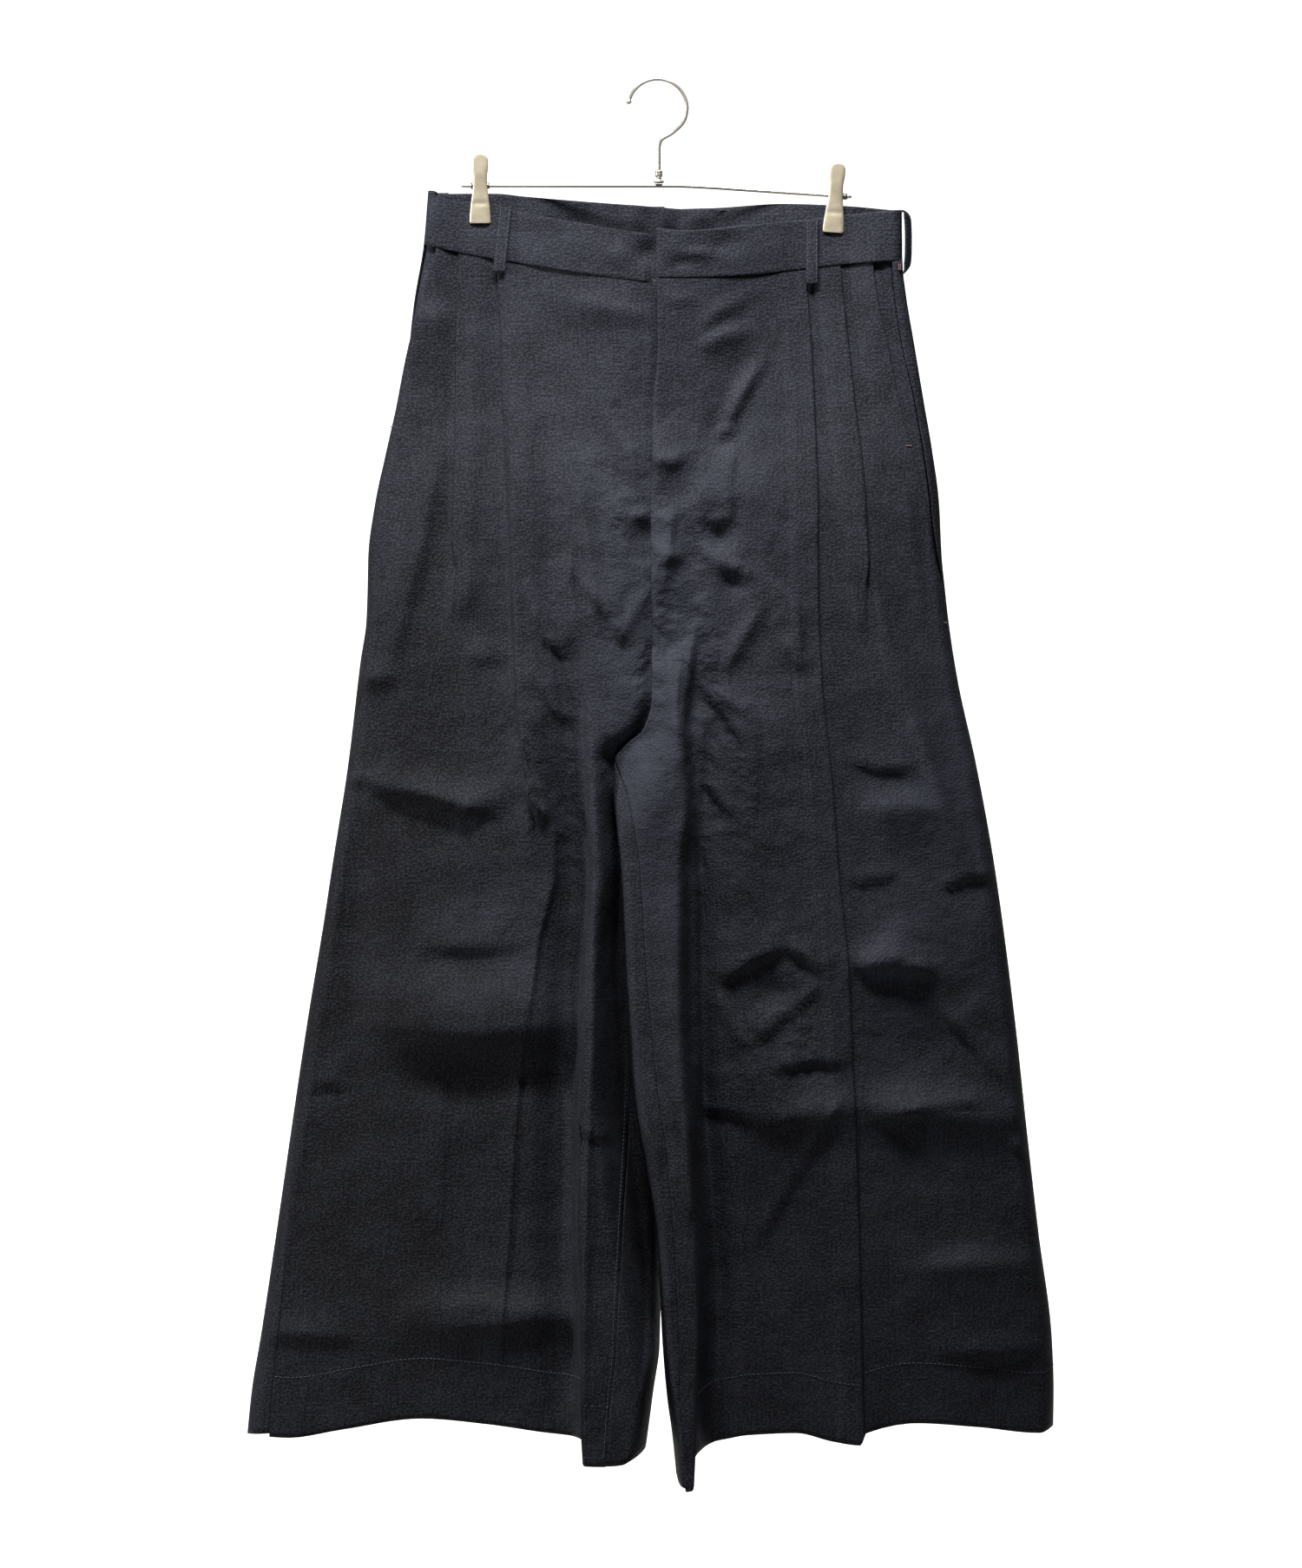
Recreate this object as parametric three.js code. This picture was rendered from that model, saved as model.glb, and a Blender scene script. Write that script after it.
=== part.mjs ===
// Wide-leg pleated denim trousers clipped to a metal trouser hanger, hanging still.
// Millimetres, +Z up, +X to the wearer's left, +Y to the wearer's back.
// The origin is where the hook's inner top rests on a rail. Drops are distances below it.
import * as THREE from "three";

// Main sizes.
const CLOTH = 1.1; // leg panel wall
const BAND = 2.4; // folded waistband wall
const LOOP = 1.2; // belt loop wall
const SEAM = 0.5; // gap between sewn pieces, as cut
const LAYER = 1.7; // spacing of the layers in a pleat
const CROTCH = 541; // drop of the crotch point
const CLIP_LEFT = 142; // clip centres across the waistband
const CLIP_RIGHT = -141.5;
const WIRE = 1.5; // radius of hook wire and rod

// A table with named columns; at(column, drop) runs smoothly through its rows.
function table(names, rows) {
  const keys = names.split(" ");
  const column = Object.fromEntries(keys.map((k, i) => [k, rows.map((r) => r[i])]));
  const xs = column[keys[0]];
  const slopes = {};
  for (const k of keys.slice(1)) {
    const ys = column[k];
    const d = xs.slice(1).map((x, i) => (ys[i + 1] - ys[i]) / (x - xs[i]));
    slopes[k] = xs.map((_, i) => {
      if (i === 0) return d[0];
      if (i === xs.length - 1) return d[i - 1];
      return d[i - 1] * d[i] > 0 ? (2 * d[i - 1] * d[i]) / (d[i - 1] + d[i]) : 0;
    });
  }
  return {
    at(k, x) {
      const n = xs.length;
      if (x <= xs[0]) return column[k][0];
      if (x >= xs[n - 1]) return column[k][n - 1];
      let i = 0;
      while (x > xs[i + 1]) i++;
      const h = xs[i + 1] - xs[i];
      const t = (x - xs[i]) / h;
      const [a, b] = [column[k][i], column[k][i + 1]];
      const [m, n2] = [slopes[k][i] * h, slopes[k][i + 1] * h];
      const s = t * t * (3 - 2 * t);
      return a + (b - a) * s + m * t * (1 - t) * (1 - t) - n2 * t * t * (1 - t);
    },
  };
}

const lerp = (a, b, t) => a + (b - a) * t;
const clamp = (t) => Math.min(1, Math.max(0, t));
function smooth(a, b, x) {
  const t = clamp((x - a) / (b - a));
  return t * t * (3 - 2 * t);
}
const bell = (x, centre, width) => Math.exp(-(((x - centre) / width) ** 2));

// Widths are measured outwards from the middle line on each side.
// out: the outer edge; cap: how far its round turn reaches in; seam: the front panel's
// edge along the turn, forward of the outermost line when negative; back: the same for
// the back panel, which starts behind the pocket facing.
const LEFT = {
  sign: 1,
  edge: table("drop out cap seam back", [
    [88, 195, 7, -27, -12],
    [147, 195.8, 7, -27, -12],
    [171, 198.5, 7.5, -27, -13],
    [213, 205.5, 9, -26, -14.5],
    [255, 212.5, 9.5, -25, -12],
    [296, 219.5, 10, -22, -12.3],
    [338, 225, 10.5, -16.5, -12.5],
    [380, 227, 11, -12, -8],
    [405, 229.5, 11, -6, -4],
    [432, 232.5, 11.5, -3, -3],
    [480, 240, 12, 3, 3],
    [546, 254.5, 12.5, 5, 5],
    [629, 269.5, 13, 6, 6],
    [754, 286, 13.5, 6, 6],
    [838, 295, 14, 6, 6],
    [921, 304.5, 14, 6, 6],
    [1004, 315, 14, 6, 6],
    [1046, 316.5, 14, 6, 6],
    [1080, 316, 14, 6, 6],
  ]),
  // Front edge at the fly above the crotch, and the back edge at the centre-back seam.
  centre: table("drop front back", [
    [150, -0.7, 1],
    [213, 0.5, 1],
    [273, -4, 1],
    [338, -5, 1],
    [493, -4, 0],
    [518, -10.5, -8],
    [530, -24, -22],
    [541, -34, -34],
  ]),
  // inner: inner edge of the leg; turn: its round; inseam: seam's distance forward of it.
  inner: table("drop inner turn inseam", [
    [541, -34, 3, 0],
    [555, -34, 5, 7],
    [570, -34, 7, 14],
    [595, -32, 8, 18],
    [629, -29, 8, 20],
    [709, -25, 8, 21],
    [786, -21, 8, 24],
    [838, -14, 8, 24],
    [867, -8.5, 8, 22],
    [921, 0, 8, 18],
    [1010, 5, 8, 17.5],
    [1046, 8, 8, 15],
    [1080, 12.5, 7, 13],
    [1125, 17, 5, 8],
  ]),
  // The inner flute: crest is its outer edge, next the edge beyond its valley.
  flute: table("drop crest next rise valley", [
    [150, 40, 70, 0, 0],
    [435, 30.5, 62, 0, 0],
    [470, 25, 52, 2, 0],
    [511, 19, 44, 5, 1],
    [574, 22, 42, 12, 4],
    [629, 17, 38, 15, 9],
    [715, 17, 37, 18, 13],
    [772, 19, 46, 20, 14],
    [838, 24, 47, 22, 14],
    [921, 30, 47, 22, 14],
    [994, 32.6, 47, 20, 13],
    [1064, 30, 47, 17, 12],
    [1124, 30, 47, 14, 12],
  ]),
  // Hem line by distance from the middle line.
  hem: table("across front back", [
    [12, 1106, 1106],
    [16, 1112, 1112],
    [22, 1125.5, 1124],
    [31, 1097, 1094],
    [39, 1089, 1082],
    [50, 1085, 1076],
    [72, 1080, 1073],
    [110, 1077, 1070],
    [140, 1084, 1068],
    [162, 1087, 1068],
    [165, 1078, 1068],
    [205, 1070, 1066],
    [255, 1073.6, 1067],
    [305, 1079, 1070],
    [316, 1074, 1070],
  ]),
};

const RIGHT = {
  sign: -1,
  edge: table("drop out cap seam back", [
    [88, 182.5, 7, -14, -2],
    [130, 186, 7, -14, -2],
    [171, 193, 7.5, -10, 1],
    [213, 200, 9, -5, 6],
    [255, 207, 9.5, 0, 10],
    [296, 216, 10, 3, 12],
    [338, 225, 10.5, 5, 12],
    [380, 230.5, 11, 6, 10],
    [405, 231, 11, 6, 8],
    [432, 232, 11.5, 6, 6],
    [463, 236.5, 12, 6, 6],
    [546, 246.5, 12.5, 5, 5],
    [629, 259.5, 13, 2, 2],
    [671, 265.8, 13.3, -1, -1],
    [754, 279.5, 14, -6, -6],
    [838, 292, 14, -12, -12],
    [921, 304, 14, -18, -18],
    [1004, 316.5, 14, -23, -23],
    [1046, 323.5, 14, -25, -25],
    [1080, 327, 14, -26, -26],
  ]),
  centre: table("drop front back", [
    [150, -4.3, -1],
    [213, -5.5, -1],
    [273, -1, -1],
    [338, 0, -1],
    [493, -1, 0],
    [518, 9, 8],
    [530, 22, 22],
    [541, 31, 31],
  ]),
  inner: table("drop inner turn inseam", [
    [541, 31, 3, 0],
    [555, 28, 5, 6],
    [570, 24, 7, 10],
    [595, 15, 10, 15],
    [629, 10, 12, 20],
    [709, 5, 12, 24],
    [786, 0, 12, 28],
    [838, -2, 12, 32],
    [921, -3, 12, 38],
    [1010, -1.5, 12, 41],
    [1046, 3.5, 12, 40],
    [1080, 8, 12, 38],
    [1108, 12, 12, 36],
  ]),
  flute: table("drop crest next rise valley", [
    [150, 60, 84, 0, 0],
    [430, 64, 86, 0, 0],
    [466, 56, 84, 3, 2],
    [520, 53, 82, 7, 6],
    [598, 51, 81, 12, 11],
    [629, 49, 81, 14, 12],
    [693, 54, 94, 16, 12],
    [756, 57.6, 101, 19, 12],
    [811, 61, 110, 21, 11],
    [915, 62.5, 116, 22, 8],
    [979, 60, 121, 22, 6],
    [1028, 60, 125, 22, 5],
    [1105, 60, 128, 20, 4],
  ]),
  hem: table("across front back", [
    [8, 1091, 1091],
    [19, 1099, 1099],
    [28, 1104.6, 1104],
    [40, 1106, 1105],
    [58, 1106, 1082],
    [65, 1080.5, 1074],
    [86, 1077, 1069],
    [136, 1070, 1067],
    [186, 1066, 1065],
    [252, 1075.7, 1069],
    [294, 1082.6, 1074],
    [327, 1080.5, 1077],
  ]),
};

// Depth of the body at the middle line, and how far the inner side of the right leg
// draws back behind the left one: start and width of that slope inwards of the crest.
const DEPTH = table("drop front back", [
  [150, 20, 16],
  [255, 26, 22],
  [338, 36, 30],
  [421, 43, 38],
  [541, 50, 44],
  [671, 54, 48],
  [838, 58, 52],
  [1100, 64, 56],
]);
const RECESS = table("drop start width depth", [
  [470, 0, 30, 0],
  [541, 1, 20, 14],
  [600, 2, 17, 34],
  [700, 3, 20, 44],
  [800, 8, 28, 54],
  [900, 22, 28, 56],
  [980, 34, 24, 50],
  [1046, 44, 20, 24],
  [1108, 46, 18, 16],
]);
// How far the right front lies behind the left one along the fly.
const LAP = table("drop push reach", [
  [90, 2.8, 16],
  [160, 2.8, 14],
  [180, 1.8, 12],
  [400, 1.8, 12],
  [450, 5, 18],
  [520, 8, 24],
  [541, 4, 14],
  [570, 0, 12],
]);
// Lower edge and upper edge of the waistband, by position across.
const BAND_FRONT = table("across top bottom", [
  [-186, 88, 130.5],
  [-182, 88, 131.5],
  [-166, 95.5, 135.5],
  [-134, 98, 141.5],
  [-111, 104.5, 145.5],
  [-57, 115, 154.5],
  [-3, 124, 162],
  [25, 127, 165],
]);
const BAND_LEFT = table("across top bottom", [
  [-1, 118.7, 158.5],
  [21, 120.8, 158.5],
  [65, 116.6, 156.5],
  [118, 111, 150.6],
  [150, 107, 147],
  [195, 103.5, 144],
]);
const BAND_BACK = table("across top bottom", [
  [-186, 88, 130.5],
  [-163, 90, 131],
  [-130, 90, 132],
  [-105, 92.3, 133.5],
  [-55, 95.8, 137],
  [-5, 99, 140],
  [20, 101, 142],
  [45, 100.6, 141.6],
  [99, 98, 139],
  [153, 100, 141],
  [195, 103.5, 144],
]);

// Pleats: where the folded edge lies by drop, how deep the cloth is tucked under it,
// and how far it has opened out: 0 folded, 1 flat.
const PLEATS = {
  right_outer: table("drop across tuck open", [
    [150, 157.5, 12, 0],
    [189, 159, 12, 0],
    [273, 160, 11, 0],
    [352, 161.5, 9, 0],
    [400, 163, 8, 0.5],
    [440, 164, 7, 1],
  ]),
  right_inner: table("drop across tuck open", [
    [150, 126.5, 14, 0],
    [209, 123.5, 14, 0],
    [289, 121, 14, 0],
    [368, 116, 13, 0],
    [421, 114.5, 12, 0],
    [491, 111, 10, 0.1],
    [530, 107, 9, 0.6],
    [570, 104, 8, 1],
    [629, 92, 8, 1],
    [700, 104, 8, 1],
    [820, 118, 8, 1],
    [908, 124, 8, 1],
    [1080, 134, 8, 1],
  ]),
  left_inner: table("drop across tuck open", [
    [150, 117.5, 14, 0],
    [209, 122, 14, 0],
    [273, 125, 14, 0],
    [337, 127, 14, 0],
    [400, 127, 14, 0],
    [480, 130, 14, 0],
    [554, 137.4, 13, 0],
    [643, 144.4, 13, 0],
    [704, 150.6, 12, 0],
    [775, 154, 12, 0],
    [842, 157, 12, 0],
    [952, 160, 12, 0],
    [1085, 163, 12, 0],
  ]),
  left_outer: table("drop across tuck open", [
    [150, 145.5, 12, 0],
    [199, 150.6, 12, 0],
    [260, 157, 12, 0],
    [321, 164, 11, 0],
    [369, 166.6, 9, 0],
    [416, 171, 8, 0.5],
    [455, 176, 7, 1],
    [543, 190, 7, 1],
    [620, 200, 7, 1],
    [1080, 215, 7, 1],
  ]),
};

// Soft waves of the back panels: position at the hem, height there and width.
const WAVES = table("index across height width", [
  [0, 95, 9, 30],
  [1, 165, -8, 34],
  [2, 235, 8, 28],
]);
const WAVE_ROWS = [0, 1, 2];

const centreBow = (x) => (Math.abs(x) < 134 ? Math.cos((Math.PI / 2) * (x / 134)) ** 2 : 0);
const bandFront = (x) => -(1.5 + 23 * centreBow(x) + 5 * smooth(152, 178, Math.abs(x)));
const bandBack = (x) => 1.5 + 21 * centreBow(x) + 5 * smooth(152, 178, Math.abs(x));
const bandShare = (drop) => 1 - smooth(165, 345, drop);
const crotchShare = (drop) => smooth(478, CROTCH, drop) * (1 - smooth(CROTCH, 605, drop));

// Depth of the front cloth at a distance across and a drop.
function frontY(side, u, drop) {
  const x = side.sign * u;
  const out = side.edge.at("out", drop);
  const share = bandShare(drop);
  const bow = 1 - 0.62 * Math.abs(u / out) ** 2.4;
  let y = lerp(-DEPTH.at("front", drop) * bow, bandFront(x), share);
  const crest = side.flute.at("crest", drop);
  const rise = side.flute.at("rise", drop);
  const valley = side.flute.at("valley", drop);
  if (side === LEFT) {
    y -= rise * (1 - smooth(crest - 1, crest + 9, u));
    y += valley * bell(u, crest + 16, 9);
  } else {
    y -= rise * (1 - smooth(crest, crest + 6, u));
    y += valley * bell(u, crest + 17, 14);
    const start = crest - RECESS.at("start", drop);
    y += RECESS.at("depth", drop) * (1 - smooth(start - RECESS.at("width", drop), start, u));
    const edge = drop < CROTCH ? side.centre.at("front", drop) : side.inner.at("inner", drop);
    const reach = LAP.at("reach", drop);
    y += LAP.at("push", drop) * (1 - smooth(edge + 5, edge + 5 + reach, u));
  }
  const near = drop < CROTCH ? side.centre.at("front", drop) : side.inner.at("inner", drop);
  const meet = side === LEFT ? -48.5 : -37;
  return lerp(y, meet, crotchShare(drop) * bell(u, near, 20));
}

// Depth of the back cloth.
function backY(side, u, drop) {
  const x = side.sign * u;
  const out = side.edge.at("out", drop);
  const bow = 1 - 0.6 * Math.abs(u / out) ** 2.6;
  let y = lerp(DEPTH.at("back", drop) * bow, bandBack(x), bandShare(drop));
  const spread = lerp(0.72, 1, clamp((drop - 400) / 680));
  for (const i of WAVE_ROWS) {
    const height = WAVES.at("height", i) * smooth(380, 1000, drop);
    y += height * bell(u, WAVES.at("across", i) * spread, WAVES.at("width", i));
  }
  if (side === LEFT && drop > 500) {
    const begin = 5 - RIGHT.inner.at("inner", drop);
    const front = lerp(-42, -38, smooth(541, 640, drop));
    const folded = lerp(front, y, smooth(begin, begin + 44, u));
    y = lerp(y, folded, smooth(500, CROTCH, drop));
  }
  const near = drop < CROTCH ? side.centre.at("back", drop) : side.inner.at("inner", drop);
  const meet = side === LEFT ? -42 : -31;
  return lerp(y, meet, crotchShare(drop) * bell(u, near, 20));
}

// A point on the front half of a leg's ring, r running outwards. Past the flat part it
// goes round the outer turn, and below the crotch also round the inner turn.
function ringFront(side, r, drop) {
  const cap = side.edge.at("cap", drop);
  const outer = side.edge.at("out", drop) - cap;
  if (r > outer) return turn(side, outer, cap, (r - outer) / cap, drop, 1);
  if (drop >= CROTCH) {
    const round = side.inner.at("turn", drop);
    const inner = side.inner.at("inner", drop) + round;
    if (r < inner) return turn(side, inner, round, (inner - r) / round, drop, -1);
  }
  return [r, frontY(side, r, drop)];
}

function turn(side, u, radius, angle, drop, way) {
  const yf = frontY(side, u, drop);
  const yb = backY(side, u, drop);
  const a = Math.min(Math.max(angle, 0), Math.PI);
  return [u + way * radius * Math.sin(a), (yf + yb) / 2 + ((yf - yb) / 2) * Math.cos(a)];
}

// Positions along the ring of the seams.
function seamAt(side, column, drop) {
  const cap = side.edge.at("cap", drop);
  return side.edge.at("out", drop) - cap + (cap * Math.PI) / 2 + side.edge.at(column, drop);
}
function inseamAt(side, drop) {
  const round = side.inner.at("turn", drop);
  return side.inner.at("inner", drop) + round * (1 - Math.PI / 2) + side.inner.at("inseam", drop);
}

// The path of one pleat: base cloth, folded under, back and over, as distances from the
// folded edge and layers towards the front.
const FOLD = table("index share layer extra", [
  [0, 0, 0, -6],
  [1, 0, 0, 0],
  [2, 1, 0, 0],
  [3, 1, 0.5, 0.85],
  [4, 1, 1, 0],
  [5, 0, 1, 0],
  [6, 0, 1.5, -0.85],
  [7, 0, 2, 0],
  [8, 1, 1.8, 0],
  [9, 1, 1, 3.5],
  [10, 1, 0, 8],
]);
const FOLD_POINTS = 11;

function pleatPoint(side, pleat, i, drop) {
  const edge = pleat.at("across", drop);
  const tuck = pleat.at("tuck", drop);
  const open = pleat.at("open", drop);
  const flip = -1; // the tuck lies towards the middle line
  const folded = FOLD.at("share", i) * tuck + FOLD.at("extra", i);
  const spread = lerp(-6, tuck + 8, i / (FOLD_POINTS - 1));
  const along = lerp(folded, spread, smooth(0, 0.6, open));
  const lift = FOLD.at("layer", i) * LAYER * (1 - smooth(0.6, 1, open));
  const u = edge + flip * along;
  return [u, frontY(side, u, drop) - lift];
}

// Row positions from the upper edge to the crotch and on to the hem.
const UPPER = [0, 0.1, 0.22, 0.35, 0.48, 0.6, 0.72, 0.82, 0.91, 0.96, 1];
const LOWER = [0.03, 0.07, 0.13, 0.22, 0.31, 0.4, 0.5, 0.6, 0.7, 0.8, 0.9, 1];

function gridOf(columns, section, topOf, hemOf) {
  const rows = UPPER.length + LOWER.length;
  const grid = [];
  for (let i = 0; i < rows; i++) grid.push([]);
  for (let j = 0; j < columns; j++) {
    let top = 150;
    let hem = 1090;
    for (let k = 0; k < 4; k++) {
      top = topOf(section(j, top)[0]);
      hem = hemOf(section(j, hem)[0]);
    }
    for (let i = 0; i < rows; i++) {
      const upper = i < UPPER.length;
      const drop = upper
        ? lerp(top, CROTCH, UPPER[i])
        : lerp(CROTCH, hem, LOWER[i - UPPER.length]);
      const [u, y] = section(j, drop);
      grid[i].push([u, y, -drop]);
    }
  }
  return grid;
}

// Makes a closed wall of even thickness on both sides of a grid of points.
function wall(grid, thick, sign = 1) {
  const rows = grid.length;
  const cols = grid[0].length;
  const points = [];
  const put = (p, n, k) => points.push(sign * (p[0] + n[0] * k), p[1] + n[1] * k, p[2]);
  const normals = grid.map((row) =>
    row.map((p, j) => {
      const before = row[Math.max(0, j - 1)];
      const after = row[Math.min(cols - 1, j + 1)];
      const one = direction(before, p) ?? direction(p, after);
      const two = direction(p, after) ?? one;
      const mean = direction([0, 0], [one[0] + two[0], one[1] + two[1]]) ?? one;
      const stretch = Math.min(1.4, 1 / Math.max(0.6, mean[0] * one[0] + mean[1] * one[1]));
      return [mean[1] * stretch, -mean[0] * stretch];
    }),
  );
  for (const k of [thick / 2, -thick / 2])
    grid.forEach((row, i) => row.forEach((p, j) => put(p, normals[i][j], k)));
  const half = rows * cols;
  const index = [];
  const quad = (a, b, c, d) => {
    if (sign > 0) index.push(a, b, c, a, c, d);
    else index.push(a, c, b, a, d, c);
  };
  for (let i = 0; i < rows - 1; i++)
    for (let j = 0; j < cols - 1; j++) {
      const a = i * cols + j;
      quad(a, a + cols, a + cols + 1, a + 1);
      quad(half + a, half + a + 1, half + a + cols + 1, half + a + cols);
    }
  const rim = [];
  for (let j = 0; j < cols - 1; j++) rim.push(j);
  for (let i = 0; i < rows - 1; i++) rim.push(i * cols + cols - 1);
  for (let j = cols - 1; j > 0; j--) rim.push((rows - 1) * cols + j);
  for (let i = rows - 1; i > 0; i--) rim.push(i * cols);
  rim.forEach((a, k) => {
    const b = rim[(k + 1) % rim.length];
    quad(a, b, half + b, half + a);
  });
  const geometry = new THREE.BufferGeometry();
  geometry.setAttribute("position", new THREE.Float32BufferAttribute(points, 3));
  geometry.setIndex(index);
  geometry.computeVertexNormals();
  return geometry;
}

function direction(a, b) {
  const [dx, dy] = [b[0] - a[0], b[1] - a[1]];
  const length = Math.hypot(dx, dy);
  return length > 1e-6 ? [dx / length, dy / length] : null;
}

// Columns of a front panel, from the inner edge outwards.
const FRONT_RUNS = [5, 4, 4, "inner", 1, "outer", 3, 4];

function frontSection(side, pleats) {
  const columns = [];
  FRONT_RUNS.forEach((run, k) => {
    if (typeof run === "string") {
      for (let i = FOLD_POINTS - 1; i >= 0; i--) columns.push({ pleat: pleats[run], i });
    } else {
      const last = k === FRONT_RUNS.length - 1;
      const first = k === 0 || typeof FRONT_RUNS[k - 1] !== "string" ? 0 : 1;
      const until = typeof FRONT_RUNS[k + 1] === "number" ? run - 1 : last ? run : run - 1;
      for (let i = first; i <= until; i++) columns.push({ run: k, t: i / run });
    }
  });
  const bounds = (k, drop) => {
    const clear = SEAM / 2 + 0.9 * bell(drop, 545, 14) + 0.4 * smooth(1085, 1110, drop);
    const start =
      drop < CROTCH ? side.centre.at("front", drop) : inseamAt(side, drop) + clear;
    const crest = side.flute.at("crest", drop);
    const next = side.flute.at("next", drop);
    const inner = (t) => pleats.inner.at("across", drop) + t;
    const outer = (t) => pleats.outer.at("across", drop) + t;
    const tuckIn = -pleats.inner.at("tuck", drop) - 8;
    const tuckOut = -pleats.outer.at("tuck", drop) - 8;
    const mid = Math.min(next, inner(tuckIn) - 6);
    const end = seamAt(side, "seam", drop) - SEAM / 2;
    const bend = Math.min(side.edge.at("out", drop) - side.edge.at("cap", drop), end - 8);
    return [
      [start, Math.min(crest, mid - 8)],
      [Math.min(crest, mid - 8), mid],
      [mid, inner(tuckIn)],
      null,
      [inner(6), outer(tuckOut)],
      null,
      [outer(6), bend],
      [bend, end],
    ][k];
  };
  const section = (j, drop) => {
    const c = columns[j];
    if (c.pleat) return pleatPoint(side, c.pleat, c.i, drop);
    const [a, b] = bounds(c.run, drop);
    return ringFront(side, lerp(a, b, c.t), drop);
  };
  return { count: columns.length, section };
}

// Columns of a back panel, from the side seam round the outer turn, along the back and,
// below the crotch, round the inner turn to the inseam.
const BACK_COLUMNS = 27;

function backSection(side) {
  const section = (j, drop) => {
    const t = j / (BACK_COLUMNS - 1);
    const share = t - (0.5 * Math.sin(2 * Math.PI * t)) / (2 * Math.PI);
    const cap = side.edge.at("cap", drop);
    const outer = side.edge.at("out", drop) - cap;
    const start = seamAt(side, "back", drop) + SEAM / 2;
    const lead = outer + cap * Math.PI - start;
    const below = drop >= CROTCH;
    const round = below ? side.inner.at("turn", drop) : 0;
    const inner = below
      ? side.inner.at("inner", drop) + round
      : side.centre.at("back", drop) + SEAM / 2;
    const flat = outer - inner;
    const tail = below ? round * Math.PI - (inner - inseamAt(side, drop)) + SEAM / -2 : 0;
    const full = lead + flat + (below ? Math.max(tail, 0.5) : 0);
    const s = share * full;
    if (s <= lead) return ringFront(side, start + s, drop);
    if (s <= lead + flat) {
      const u = outer - (s - lead);
      return [u, backY(side, u, drop)];
    }
    const rest = s - lead - flat;
    return ringFront(side, inner - round * Math.PI + rest, drop);
  };
  return { count: BACK_COLUMNS, section };
}

const group = new THREE.Group();
group.name = "wide_leg_jeans_on_hanger";
const denim = new THREE.MeshStandardMaterial({ color: 0x2b2e3c, roughness: 0.75 });
const pocketing = new THREE.MeshStandardMaterial({ color: 0x292c39, roughness: 0.8 });
const steel = new THREE.MeshStandardMaterial({ color: 0xbfb8a8, metalness: 1, roughness: 0.3 });
const satin = new THREE.MeshStandardMaterial({ color: 0xc2b69c, metalness: 1, roughness: 0.4 });

function add(name, geometry, material) {
  const mesh = new THREE.Mesh(geometry, material);
  mesh.name = name;
  group.add(mesh);
}

// Leg panels.
for (const [side, name] of [
  [LEFT, "left"],
  [RIGHT, "right"],
]) {
  const band = side === LEFT ? BAND_LEFT : BAND_FRONT;
  const backTop = (u) => {
    const front = u > 160 ? band.at("bottom", side.sign * u) : 0;
    return Math.max(BAND_BACK.at("bottom", side.sign * u), front) + SEAM + 0.4;
  };
  const frontTop = (u) => band.at("bottom", side.sign * u) + SEAM;
  const pleats = { inner: PLEATS[name + "_inner"], outer: PLEATS[name + "_outer"] };
  const front = frontSection(side, pleats);
  const hemFront = (u) => side.hem.at("front", u);
  const sheet = gridOf(front.count, front.section, frontTop, hemFront);
  add("front_" + name, wall(sheet, CLOTH, side.sign), denim);

  const back = backSection(side);
  const hemBack = (u) => side.hem.at("back", u);
  const rear = gridOf(back.count, (j, drop) => back.section(j, drop), backTop, hemBack);
  add("back_" + name, wall(rear, CLOTH, side.sign), denim);
}

// Pocket facings, a step inside the front panel's slanted edge.
for (const [side, name] of [
  [LEFT, "left"],
  [RIGHT, "right"],
]) {
  const grid = [];
  for (let i = 0; i <= 8; i++) {
    const row = [];
    for (let j = 0; j <= 5; j++) {
      const drop = lerp(side === LEFT ? 147.5 : 136, 388, i / 8);
      const a = seamAt(side, "seam", drop) - 7;
      const b = Math.max(seamAt(side, "back", drop) - SEAM, a + 5);
      const r = lerp(a, b, j / 5);
      const p = ringFront(side, r - 0.05, drop);
      const q = ringFront(side, r + 0.05, drop);
      const d = direction(p, q);
      row.push([p[0] - d[1] * 2.3, p[1] + d[0] * 2.3, -drop]);
    }
    grid.push(row);
  }
  add("pocket_facing_" + name, wall(grid, CLOTH, side.sign), pocketing);
}

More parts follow.
